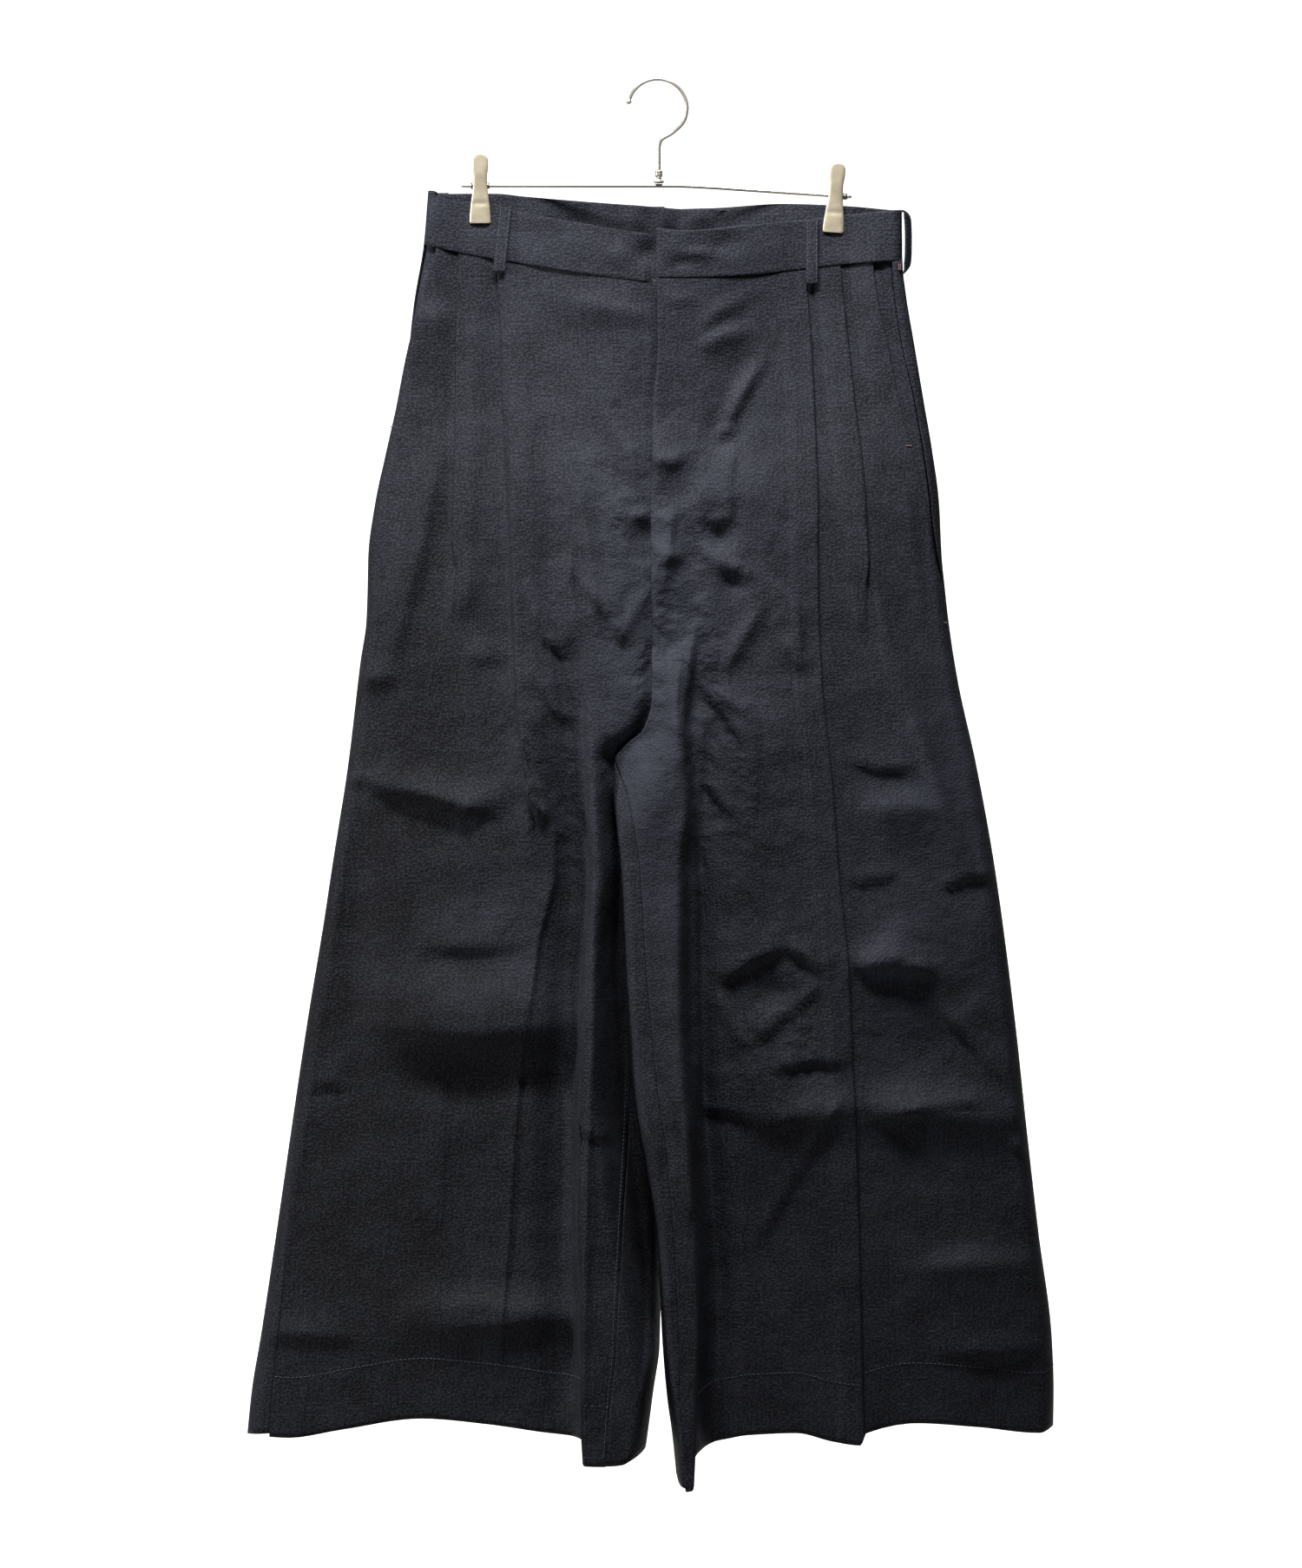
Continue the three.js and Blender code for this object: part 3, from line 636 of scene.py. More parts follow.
# Where the cloth is paler or darker: partly rubbed paler by wear, partly painted light over the
# crotch, fly and seat and painted shade on the outer flanks. across, drop, half widths, amount.
WEAR_AND_PAINTED_LIGHT = {
    "front": rows_of("""
    across drop wide high amount
    10 430 60 120 0.7
    0 560 36 110 0.65
    -5 700 26 200 0.4
    -190 520 70 190 -0.75
    -235 820 80 260 -0.9
    200 700 60 200 0.6
    160 430 30 120 -0.25
    -150 690 60 50 0.3
    240 560 24 90 0.9
    -120 820 90 40 -0.3
    -5 450 40 90 0.2
    -150 240 80 120 -0.35
    170 240 50 120 -0.2
    """),
    "rear": rows_of("""
    across drop wide high amount
    -80 360 60 90 0.45
    85 350 60 90 0.45
    -200 560 60 200 -0.35
    205 600 60 170 -0.35
    0 560 40 90 0.3
    """),
}

# Where the cloth is crumpled more than elsewhere, in the same columns.
CRUMPLED = {
    "front": rows_of("""
    across drop wide high amount
    15 440 75 120 1.1
    95 750 50 80 0.8
    -95 560 40 110 0.7
    215 720 50 140 0.4
    -30 320 60 80 0.4
    60 580 50 70 0.6
    """),
    "rear": rows_of("""
    across drop wide high amount
    0 450 110 120 0.9
    -110 640 70 90 0.5
    120 660 70 90 0.5
    """),
}


def band_line(side):
    return BAND_LEFT_LINE if side is LEFT else BAND_RIGHT_LINE


def centre_bow(x):
    """How far the waist springs open between the clips: a squared cosine."""
    return np.where(np.abs(x) < 134, np.cos(np.pi / 2 * x / 134) ** 2, 0.0)


def band_front(x):
    return -(1.5 + 23 * centre_bow(x) + 5 * smooth(152, 178, np.abs(x)))


def band_back(x):
    return 1.5 + 21 * centre_bow(x) + 5 * smooth(152, 178, np.abs(x))


def band_share(drop):
    return 1 - smooth(165, 345, drop)


def crotch_share(drop):
    return smooth(478, CROTCH, drop) * (1 - smooth(CROTCH, 605, drop))


def near_edge(side, face, drop):
    """The centre seam of a face above the crotch, and the leg's inner turn below it."""
    return np.where(
        drop < CROTCH, side["centre"].at(face, drop), side["inner"].at("inner", drop)
    )


def plain_depth(side, face, u, drop, flatness, power, band):
    """A shallow bow across the leg, drawn in to the waistband's depth at the top."""
    bow = 1 - flatness * np.abs(u / side["edge"].at("out", drop)) ** power
    toward = -1 if face == "front" else 1
    return mix(toward * DEPTH.at(face, drop) * bow, band(side["sign"] * u), band_share(drop))


def front_depth(side, u, drop):
    """Front cloth: a shallow bow, plus the inner flute, its valley and the fly's lap."""
    y = plain_depth(side, "front", u, drop, 0.62, 2.4, band_front)
    crest = side["flute"].at("crest", drop)
    rise = side["flute"].at("rise", drop)
    valley = side["flute"].at("valley", drop)
    near = near_edge(side, "front", drop)
    if side is LEFT:
        y = y - rise * (1 - smooth(0, 1, (u - crest + 1) / 10))
        y = y + valley * bell(u, crest + 16, 9)
        y = y - 0.4 * bell(u, near, 1.6) * (1 - smooth(440, 500, drop))
        width = 20
    else:
        y = y - rise * (1 - smooth(0, 1, (u - crest) / 6))
        y = y + valley * bell(u, crest + 17, 14)
        start = crest - RECESS.at("start", drop)
        run = RECESS.at("width", drop)
        y = y + RECESS.at("depth", drop) * (1 - smooth(0, 1, (u - start + run) / run))
        y = y + LAP.at("push", drop) * (1 - smooth(0, 1, (u - near - 5) / LAP.at("reach", drop)))
        width = 12
    share = crotch_share(drop) * bell(u, near, width)
    return mix(y, MEET["front_" + side["name"]], share)


def back_depth(side, u, drop):
    """Back cloth: a shallow bow with waves that grow towards the hem. Below the crotch
    the left leg's inner edge comes forward over the right leg."""
    y = plain_depth(side, "back", u, drop, 0.6, 2.6, band_back)
    spread = mix(0.72, 1, np.clip((drop - 400) / 680, 0, 1))
    for across, height, width in WAVES:
        y = y + height * smooth(380, 1000, drop) * bell(u, across * spread, width)
    near = near_edge(side, "back", drop)
    meet = MEET["back_" + side["name"]]
    if side is LEFT:
        begin = 5 - RIGHT["inner"].at("inner", drop)
        front = mix(meet, -38, smooth(CROTCH, 640, drop))
        folded = mix(front, y, smooth(0, 1, (u - begin) / 44))
        y = mix(y, folded, smooth(500, CROTCH, drop))
    return mix(y, meet, crotch_share(drop) * bell(u, near, 20))


def ring_front(side, r, drop):
    """A point on the leg's ring, r running outwards along the front, then round the
    outer turn, and below the crotch also inwards round the inner turn. Also gives how
    squarely the cloth faces the front: 1 on the front, -1 on the back."""
    cap = side["edge"].at("cap", drop)
    outer = side["edge"].at("out", drop) - cap
    turn = side["inner"].at("turn", drop)
    inner = np.where(drop >= CROTCH, side["inner"].at("inner", drop) + turn, -1e6)
    u = np.clip(r, inner, outer)
    front = front_depth(side, u, drop)
    back = back_depth(side, u, drop)
    past = np.clip((r - outer) / cap, 0, np.pi)
    before = np.clip((inner - r) / turn, 0, np.pi)
    angle = past + before
    across = u + cap * np.sin(past) - turn * np.sin(before)
    y = (front + back) / 2 + (front - back) / 2 * np.cos(angle)
    return across, y, np.cos(angle)


def seam_at(side, column, drop):
    cap = side["edge"].at("cap", drop)
    return side["edge"].at("out", drop) - cap + cap * np.pi / 2 + side["edge"].at(column, drop)


def inseam_at(side, drop):
    turn = side["inner"].at("turn", drop)
    inner = side["inner"].at("inner", drop)
    return inner + turn * (1 - np.pi / 2) + side["inner"].at("inseam", drop)


def signed_distance(x, drop, line):
    """Distance to a polyline, positive on the side away from the light, which comes
    from above and the left, and how far along."""
    best = np.full(x.shape, 1e9)
    side = np.zeros(x.shape)
    along = np.zeros(x.shape)
    points = np.array(line, float)
    chord = points[-1] - points[0]
    away = 1 if chord[0] - 0.6 * chord[1] >= 0 else -1
    lengths = np.hypot(*np.diff(points, axis=0).T)
    total, passed = lengths.sum(), 0.0
    for (ax, az), (bx, bz), length in zip(points[:-1], points[1:], lengths):
        tx, tz = (bx - ax) / length, (bz - az) / length
        s = (x - ax) * tx + (drop - az) * tz
        on = np.clip(s, 0, length)
        dx, dz = x - ax - on * tx, drop - az - on * tz
        d = np.hypot(dx, dz)
        closer = d < best
        best = np.where(closer, d, best)
        side = np.where(closer, np.sign(tx * dz - tz * dx), side)
        along = np.where(closer, (passed + s) / total, along)
        passed += length
    return best * side * away, along


def crease_field(x, drop, names, swells):
    """Sum of the creases, shelves and swells: a crease is a sharp ridge that falls
    slowly on its lit side and steeply into a trough on the other; a shelf falls to
    nothing over its two runs. Both die out at their ends."""
    total = np.zeros(x.shape)
    for name in names:
        for line, width, ridge, trough in CREASES[name]:
            d, along = signed_distance(x, drop, line)
            fade = smooth(-0.08, 0.22, along) * (1 - smooth(0.72, 1.08, along))
            w = width * (0.85 + 0.3 * np.clip(along, 0, 1))
            far = np.sqrt(d * d + 1.2) - 1.1
            lit = ridge * np.exp(-far / (1.9 * w))
            dark = (ridge + trough) * np.exp(-far / (0.5 * w)) - trough * np.exp(-far / (1.7 * w))
            total += fade * np.where(d < 0, lit, dark)
        for line, above, below, height in SHELVES[name]:
            d, along = signed_distance(x, drop, line)
            fade = smooth(-0.2, 0.4, along) * (1 - smooth(0.6, 1.2, along))
            part = np.clip(np.where(d < 0, -d / above, d / below), 0, 1)
            total += 1.4 * fade * height * (1 - part) ** 2 * (1 + 0.6 * part)
    for across, level, wide, high, height in SWELLS[swells]:
        total += height * bell(x, across, wide) * bell(drop, level, high)
    return total * smooth(150, 200, drop)


def relief(side, u, y, drop, facing):
    """Moves points of a panel by the creases, outwards on the side that they face."""
    x = side["sign"] * u
    front = crease_field(x, drop, [side["name"]], "front")
    rear = crease_field(x, drop, ["rear"], "rear")
    return y - front * smooth(0.1, 0.9, facing) + rear * smooth(0.1, 0.9, -facing)


# --- Panels as grids ---------------------------------------------------------------


def fold_path(step):
    """The path of a pleat through its three layers, as share of the tuck, layer and
    extra distance: base cloth, tucked under, half-round turn back, half-round turn
    over, and a little down again towards the plain cloth beside it."""
    half = np.linspace(0, np.pi, 7)[1:-1]
    runs = [
        [(0, 0, e) for e in np.linspace(-6, 0, 3)],
        [(s, 0, 0) for s in np.linspace(0, 1, 4)[1:]],
        [(1, 0.5 - 0.5 * math.cos(a), 0.85 * math.sin(a)) for a in half],
        [(s, 1, 0) for s in np.linspace(1, 0, 4)],
        [(0, 1.5 - 0.5 * math.cos(a), -0.85 * math.sin(a)) for a in half],
        [(s, 2, 0) for s in np.linspace(0, 1, step)],
        [(1, 2 - 0.8 * t * t, 8 * t) for t in np.linspace(0, 1, 6)[1:]],
    ]
    return np.array([p for run in runs for p in run])


FOLD = fold_path(8)


def pleat_lift(pleat, drop):
    """Spacing of the layers: pressed together under the band, and none once open."""
    opened = pleat.at("open", drop)
    return LAYER * mix(0.35, 1, smooth(150, 215, drop)) * (1 - smooth(0.6, 1, opened))


def pleat_point(side, pleat, index, drop):
    share, layer, extra = FOLD[index]
    tuck = pleat.at("tuck", drop)
    opened = pleat.at("open", drop)
    folded = share * tuck + extra
    spread = mix(-6, tuck + 8, index / (len(FOLD) - 1))
    along = mix(folded, spread, smooth(0, 0.6, opened))
    u = pleat.at("across", drop) - along
    return u, front_depth(side, u, drop) - layer * pleat_lift(pleat, drop)


def front_columns():
    """The columns of a front panel from its inner edge outwards: (run, share) on the
    plain runs and (pleat, index) in the folds."""
    columns = []
    for run, count in enumerate([20, 14, 24, "inner", 3, "outer", 16, 12]):
        if isinstance(count, str):
            columns += [(count, i) for i in range(len(FOLD) - 1, -1, -1)]
            continue
        begins = 1 if columns and isinstance(columns[-1][0], str) else 0
        last = count if run == 7 else count - 1
        columns += [(run, i / count) for i in range(begins, last + 1)]
    return columns


FRONT_COLUMNS = front_columns()


def run_bounds(side, pleats, run, drop):
    clear = SEAM / 2 + 0.6 * bell(drop, 545, 14)
    start = np.where(
        drop < CROTCH, side["centre"].at("front", drop), inseam_at(side, drop) + clear
    )
    inner = pleats["inner"].at("across", drop)
    outer = pleats["outer"].at("across", drop)
    tuck_in = inner - pleats["inner"].at("tuck", drop) - 8
    tuck_out = outer - pleats["outer"].at("tuck", drop) - 8
    middle = np.minimum(side["flute"].at("next", drop), tuck_in - 6)
    crest = np.minimum(side["flute"].at("crest", drop), middle - 8)
    end = seam_at(side, "seam", drop) - SEAM / 2
    bend = np.minimum(side["edge"].at("out", drop) - side["edge"].at("cap", drop), end - 8)
    return {
        0: (start, crest),
        1: (crest, middle),
        2: (middle, tuck_in),
        4: (inner + 6, tuck_out),
        6: (outer + 6, bend),
        7: (bend, end),
    }[run]


def front_panel(side, pleats):
    """Points of a front panel's middle surface: rows are lines across the cloth."""

    def column(j, drop):
        kind, value = FRONT_COLUMNS[j]
        if isinstance(kind, str):
            u, y = pleat_point(side, pleats[kind], value, drop)
            return u, y, np.ones(np.shape(drop))
        a, b = run_bounds(side, pleats, kind, drop)
        u, y, facing = ring_front(side, mix(a, b, value), drop)
        if kind in (2, 4):
            pleat = pleats["inner" if kind == 2 else "outer"]
            y = y - 1.2 * pleat_lift(pleat, drop) * value**1.5
        return u, y, facing

    def top(u, j):
        return band_line(side).at("bottom", side["sign"] * u) - 2.5

    return panel_grid(side, column, len(FRONT_COLUMNS), top, "front", (96, 132))


def panel_grid(side, column, count, top_of, hem_column, rows):
    """Drops run from the upper edge, a little inside the folded band, to the crotch
    line and on to the hem, each part in even steps; every column keeps its own ends."""
    upper = np.linspace(0, 1, rows[0] + 1)
    lower = np.linspace(0, 1, rows[1] + 1)[1:]
    grid = np.zeros((rows[0] + rows[1] + 1, count, 3))
    facings = np.zeros(grid.shape[:2])
    for j in range(count):
        top, hem = np.array([150.0]), np.array([1090.0])
        for _ in range(4):
            top = top_of(column(j, top)[0], j)
            hem = side["hem"].at(hem_column, column(j, hem)[0])
        drop = np.concatenate([mix(top, CROTCH, upper), mix(CROTCH, hem, lower)])
        u, y, facing = column(j, drop)
        grid[:, j] = np.stack([u, y, drop], axis=1)
        facings[:, j] = facing
    u, drop = grid[..., 0], grid[..., 2]
    y = relief(side, u, grid[..., 1], drop, facings)
    x = side["sign"] * u
    return np.stack([x, y, -drop], axis=-1)


BACK_COUNT = 122


def back_panel(side):
    """Points of a back panel: from the side seam round the outer turn, along the back
    and, below the crotch, round the inner turn to the inseam."""

    def column(j, drop):
        t = j / (BACK_COUNT - 1)
        share = t - 0.5 * math.sin(2 * math.pi * t) / (2 * math.pi)
        below = drop >= CROTCH
        cap = side["edge"].at("cap", drop)
        outer = side["edge"].at("out", drop) - cap
        start = seam_at(side, "back", drop) + SEAM / 2
        lead = outer + cap * np.pi - start
        turn = np.where(below, side["inner"].at("turn", drop), 0.0)
        inner = np.where(
            below,
            side["inner"].at("inner", drop) + turn,
            side["centre"].at("back", drop) + SEAM / 2,
        )
        flat = outer - inner
        tail = turn * np.pi - (inner - inseam_at(side, drop)) - SEAM / 2
        # Near the hem the cloth laps a little, which closes a slit at the inseam.
        tail = np.where(below, np.maximum(tail, 0.5), 0.0) + 1.4 * smooth(1075, 1090, drop)
        s = share * (lead + flat + tail)
        u = outer - (s - lead)
        r = np.where(s <= lead, start + s, inner - turn * np.pi + (s - lead - flat))
        across, y, facing = ring_front(side, r, drop)
        plain = (s > lead) & (s <= lead + flat)
        y = np.where(plain, back_depth(side, u, drop), y)
        return np.where(plain, u, across), y, np.where(plain, -1.0, facing)

    def top(u, j):
        x = side["sign"] * u
        front = band_line(side).at("bottom", x)
        return np.where(j < 12, front, BAND_BACK_LINE.at("bottom", x)) - 2.5

    return panel_grid(side, column, BACK_COUNT, top, "back", (72, 100))


# --- Meshes --------------------------------------------------------------------------


def spots(x, drop, rows):
    """Bells at the places of a table: across, drop, half widths, amount."""
    return sum(h * bell(x, a, w) * bell(drop, d, t) for a, d, w, t, h in rows)


def link(name, data):
    """A new object in the scene for a mesh, light or camera."""
    piece = bpy.data.objects.new(name, data)
    bpy.context.scene.collection.objects.link(piece)
    return piece


def mesh_of(name, points, faces, material, uv=None):
    """A smooth-shaded mesh from points in millimetres and a list or array of faces."""
    mesh = bpy.data.meshes.new(name)
    faces = faces.tolist() if isinstance(faces, np.ndarray) else faces
    mesh.from_pydata((points.reshape(-1, 3) * MM).tolist(), [], faces)
    mesh.polygons.foreach_set("use_smooth", [True] * len(mesh.polygons))
    if uv is not None:
        layer = mesh.uv_layers.new(name="Cloth")
        corner = np.zeros(len(mesh.loops), dtype=np.int32)
        mesh.loops.foreach_get("vertex_index", corner)
        layer.data.foreach_set("uv", uv[corner].ravel())
    mesh.update()
    mesh.materials.append(material)
    return link(name, mesh)


def wear_part(piece, node):
    """Puts a piece on the body in place of a node of the frame."""
    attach(piece, "root")
    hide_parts(node)


def hang_cloth(piece, node):
    """Puts a piece of cloth on the body in place of a node of the frame."""
    wear_part(piece, node)


def grid_faces(rows, cols, flip=False, wrap=False):
    """Quads between neighbouring rows and columns; wrap joins the last column to the
    first."""
    i, j = np.meshgrid(np.arange(rows - 1), np.arange(cols if wrap else cols - 1), indexing="ij")
    a = i * cols + j
    b = i * cols + (j + 1) % cols
    quads = np.stack([a, a + cols, b + cols, b], axis=-1).reshape(-1, 4)
    return quads[:, ::-1] if flip else quads


def cloth_uv(grid, grain):
    """Width along the cloth from the grain line's column, and drop, in metres. Each row
    is measured by itself, so the threads keep their spacing and run straight. Cloth on
    the right takes another place in the pattern, so that the two halves differ."""
    steps = np.linalg.norm(np.diff(grid, axis=1), axis=2)
    width = np.concatenate([np.zeros((len(grid), 1)), np.cumsum(steps, axis=1)], axis=1)
    width = width - width[:, grain : grain + 1]
    width = width + PATTERN["right" if grid[..., 0].mean() < 0 else "left"]
    return np.stack([width, grid[..., 2]], axis=-1).reshape(-1, 2) * MM


def normals_of(grid):
    """Unit normals of a grid of points: down the column crossed with along the row."""
    down = np.gradient(grid, axis=0)
    along = np.gradient(grid, axis=1)
    n = np.cross(down, along)
    return n / np.maximum(np.linalg.norm(n, axis=2, keepdims=True), 1e-9)


def sheet_of(name, grid, thick, material, flip, grain=0, rim=0.0, face=""):
    """A cloth wall of even thickness about a grid of points; rim rounds its edges. A leg panel's
    face picks the tables of where it is paler or darker, partly from wear and partly from painted
    light and shade, and where it is crumpled."""
    rows, cols = grid.shape[:2]
    faces = grid_faces(rows, cols, flip)
    piece = mesh_of(name, grid, faces, material, cloth_uv(grid, grain))
    if face:
        x, drop = grid[..., 0], -grid[..., 2]
        # Painted shade: the lower legs are darker all over, where less light reaches them.
        wear_and_painted_light = np.clip(spots(x, drop, WEAR_AND_PAINTED_LIGHT[face]) - 0.45 * smooth(560, 900, drop), -1, 1)
        crumple = np.clip(spots(x, drop, CRUMPLED[face]), 0, 1.5)
        for key, values in (("WearAndPaintedLight", wear_and_painted_light), ("Crumple", crumple)):
            layer = piece.data.attributes.new(key, "FLOAT", "POINT")
            layer.data.foreach_set("value", values.ravel())
    wall = piece.modifiers.new("Wall", "SOLIDIFY")
    wall.thickness = thick * MM
    wall.offset = 0
    wall.use_even_offset = False
    if rim:
        edge = piece.modifiers.new("Rim", "BEVEL")
        edge.width = rim * MM
        edge.segments = 2
        edge.limit_method = "ANGLE"
        edge.angle_limit = math.radians(50)
    return piece


def sweep(name, centres, radii, around, material, across=(0, 1, 0)):
    """A round wire: circles of the given radii stood square to a path, with its two
    ends drawn to a point. across is a direction that the path never takes."""
    centres = np.asarray(centres, float)
    tangent = np.gradient(centres, axis=0)
    tangent /= np.linalg.norm(tangent, axis=1, keepdims=True)
    first = np.broadcast_to(np.array(across, float), centres.shape)
    first = first - (first * tangent).sum(1, keepdims=True) * tangent
    first /= np.linalg.norm(first, axis=1, keepdims=True)
    second = np.cross(tangent, first)
    angle = np.linspace(0, 2 * np.pi, around, endpoint=False)[None, :, None]
    ring = np.cos(angle) * first[:, None] + np.sin(angle) * second[:, None]
    points = centres[:, None] + ring * np.broadcast_to(radii, len(centres))[:, None, None]
    return closed_tube(name, points, material)


def closed_tube(name, points, material):
    """A tube through rings of points, closed by a fan at each end."""
    rows, cols = points.shape[:2]
    flat = np.concatenate([points.reshape(-1, 3), points[:1].mean(1), points[-1:].mean(1)])
    j = np.arange(cols)
    k = (j + 1) % cols
    start = np.stack([np.full(cols, rows * cols), j, k], axis=1)
    last = (rows - 1) * cols
    end = np.stack([np.full(cols, rows * cols + 1), last + k, last + j], axis=1)
    faces = grid_faces(rows, cols, wrap=True).tolist() + start.tolist() + end.tolist()
    return mesh_of(name, flat, faces, material)


def sew(name, node, path, normals, pitch, length, radius):
    """Sewing stitches along a path on a node: each is a low five-sided bead that rises
    out of the cloth as half a sine and dips back in at both ends."""
    step = np.linalg.norm(np.diff(path, axis=0), axis=1)
    travel = np.concatenate([[0], np.cumsum(step)])
    count = max(int((travel[-1] - length) / pitch), 1)
    middle = np.linspace(length / 2, travel[-1] - length / 2, count)
    t = np.linspace(-0.5, 0.5, 5)
    at = middle[:, None] + t[None] * length
    centre = np.stack([np.interp(at, travel, path[:, k]) for k in range(3)], axis=-1)
    up = np.stack([np.interp(at, travel, normals[:, k]) for k in range(3)], axis=-1)
    up /= np.linalg.norm(up, axis=-1, keepdims=True)
    along = centre[:, -1:] - centre[:, :1]
    along /= np.linalg.norm(along, axis=-1, keepdims=True)
    side = np.cross(along, up)
    rise = radius * 0.9 * np.cos(np.pi * t)
    thick = radius * (0.45 + 0.55 * np.cos(np.pi * t * 0.8))
    angle = np.linspace(0, 2 * np.pi, 5, endpoint=False)[:, None]
    ring = np.cos(angle) * side[:, :, None] + np.sin(angle) * up[:, :, None]
    points = (centre + up * rise[None, :, None])[:, :, None] + ring * thick[None, :, None, None]
    base = np.arange(count)[:, None, None] * 25
    quads = (grid_faces(5, 5, wrap=True)[None] + base).reshape(-1, 4)
    caps = np.concatenate([base[:, 0] + np.arange(5)[::-1], base[:, 0] + 20 + np.arange(5)])
    piece = mesh_of(name, points, quads.tolist() + caps.tolist(), THREAD)
    wear_part(piece, node)


# --- Materials -------------------------------------------------------------------------


def linear(hex_colour):
    """An sRGB hex colour as linear red, green, blue and alpha."""
    parts = [int(hex_colour[i : i + 2], 16) / 255 for i in (1, 3, 5)]
    return [c / 12.92 if c <= 0.04045 else ((c + 0.055) / 1.055) ** 2.4 for c in parts] + [1.0]


def add(tree, kind, settings=None, **inputs):
    """Adds a node with its settings, socket values and links; i0 is socket number 0."""
    node = tree.nodes.new(kind)
    for key, value in (settings or {}).items():
        setattr(node, key, value)
    for key, value in inputs.items():
        numbered = key[0] == "i" and key[1:].isdigit()
        socket = node.inputs[int(key[1:]) if numbered else key.replace("_", " ")]
        if isinstance(value, bpy.types.NodeSocket):
            tree.links.new(value, socket)
        else:
            socket.default_value = value
    return node


def blank(name):
    material = bpy.data.materials.new(name)
    material.use_nodes = True
    tree = material.node_tree
    tree.nodes.clear()
    return material, tree


def object_place(tree):
    return add(tree, "ShaderNodeTexCoord").outputs["Object"]


def scaled(tree, place, scale):
    """A place stretched per axis, so that a pattern drawn there is finer on that axis."""
    return add(tree, "ShaderNodeMapping", Vector=place, Scale=scale).outputs["Vector"]


def noise(tree, place, scale, detail, roughness=0.5):
    node = add(
        tree, "ShaderNodeTexNoise", Vector=place, Scale=scale, Detail=detail, Roughness=roughness
    )
    return node.outputs["Fac"]


def worked(tree, operation, a, b):
    return add(tree, "ShaderNodeMath", {"operation": operation}, i0=a, i1=b).outputs[0]


def ranged(tree, value, ends, goals, kind="LINEAR"):
    """Maps a value between two ends to one between two goals, and holds it there."""
    limits = dict(zip(("From_Min", "From_Max", "To_Min", "To_Max"), (*ends, *goals)))
    settings = {"interpolation_type": kind}
    return add(tree, "ShaderNodeMapRange", settings, Value=value, **limits).outputs[0]


def tinted(tree, share, a, b):
    """From colour a at a share of 0 to colour b at 1."""
    a, b = linear(a), linear(b)
    return add(tree, "ShaderNodeMix", {"data_type": "RGBA"}, i0=share, i6=a, i7=b).outputs[2]


def bumped(tree, height, distance, strength=1.0, **more):
    """The surface's direction as a relief of this height would turn it."""
    node = add(
        tree, "ShaderNodeBump", Strength=strength, Distance=distance, Height=height, **more
    )
    return node.outputs[0]


def finish(tree, **inputs):
    shader = add(tree, "ShaderNodeBsdfPrincipled", **inputs)
    add(tree, "ShaderNodeOutputMaterial", Surface=shader.outputs[0])


def denim(name, warp, weft):
    """Indigo cotton cloth: dark warp threads with slubs that run down the cloth, pale
    weft that speckles between them, soft crumples and a dull sheen."""
    material, tree = blank(name)
    place = add(tree, "ShaderNodeUVMap", {"uv_map": "Cloth"}).outputs["UV"]
    # Slubs, cross threads and the speckle between them are drawn at 1.6 to 2 mm, coarser
    # than real threads, because finer ones would vanish in the picture.
    slub = noise(tree, scaled(tree, place, (620, 34, 1)), 1.0, 2.0, 0.7)
    picks = noise(tree, scaled(tree, place, (60, 560, 1)), 1.0, 2.0, 0.6)
    speckle = noise(tree, place, 520.0, 1.0)
    cloud = noise(tree, place, 17.0, 5.0, 0.62)
    # Crumples: sharp ridges some 60 mm apart, and soft ones of 12 to 30 mm.
    ridges = add(
        tree,
        "ShaderNodeTexNoise",
        {"noise_type": "RIDGED_MULTIFRACTAL"},
        Vector=place,
        Scale=9.0,
        Detail=2.5,
        Roughness=0.5,
        Distortion=0.6,
    ).outputs["Fac"]
    crumple = add(tree, "ShaderNodeTexNoise", Vector=place, Scale=26.0, Detail=3.0, Roughness=0.5)
    # Painted light and shade, partly wear: a tone on the cloth's points makes it paler or darker
    # at set places.
    wear_and_painted_light = add(tree, "ShaderNodeAttribute", {"attribute_name": "WearAndPaintedLight"}).outputs["Fac"]
    total = worked(tree, "MULTIPLY", wear_and_painted_light, 0.4)
    for value, ends, share in (
        (slub, (0.3, 0.75), 0.4),
        (picks, (0.35, 0.7), 0.1),
        (speckle, (0.42, 0.64), 0.62),
        (cloud, (0.35, 0.75), 0.26),
        (ridges, (0.3, 1.1), 0.2),
        (crumple.outputs["Fac"], (0.4, 0.62), 0.12),
    ):
        total = worked(tree, "ADD", total, ranged(tree, value, ends, (0, share)))
    # Facets of crumpled cloth, longer down the cloth than across it.
    bent = add(
        tree,
        "ShaderNodeVectorMath",
        {"operation": "MULTIPLY_ADD"},
        i0=crumple.outputs[1],
        i1=(0.05, 0.05, 0),
        i2=place,
    )
    stretched = scaled(tree, bent.outputs[0], (44, 24, 1))
    facets = add(tree, "ShaderNodeTexVoronoi", Vector=stretched, Scale=1.0).outputs["Distance"]
    amount = add(tree, "ShaderNodeAttribute", {"attribute_name": "Crumple"}).outputs["Fac"]
    big = worked(tree, "MULTIPLY", ridges, worked(tree, "ADD", amount, 0.5))
    small = worked(tree, "MULTIPLY", crumple.outputs["Fac"], worked(tree, "ADD", amount, 0.55))
    normal = bumped(tree, big, 0.0044)
    normal = bumped(tree, small, 0.0052, Normal=normal)
    normal = bumped(tree, worked(tree, "MULTIPLY", facets, amount), 0.0028, Normal=normal)
    normal = bumped(tree, total, 0.00035, Normal=normal)
    colour = tinted(tree, total, warp, weft)
    finish(tree, Base_Color=colour, Roughness=0.74, Normal=normal, Specular_IOR_Level=0.18)
    return material


def cotton_thread(name, colour, pale):
    """Spun cotton sewing thread: matt, with paler fibres along its twist."""
    material, tree = blank(name)
    ply = noise(tree, object_place(tree), 2400.0, 2.0)
    finish(
        tree,
        Base_Color=tinted(tree, ply, colour, pale),
        Roughness=0.7,
        Normal=bumped(tree, ply, 0.0001, 0.4),
    )
    return material


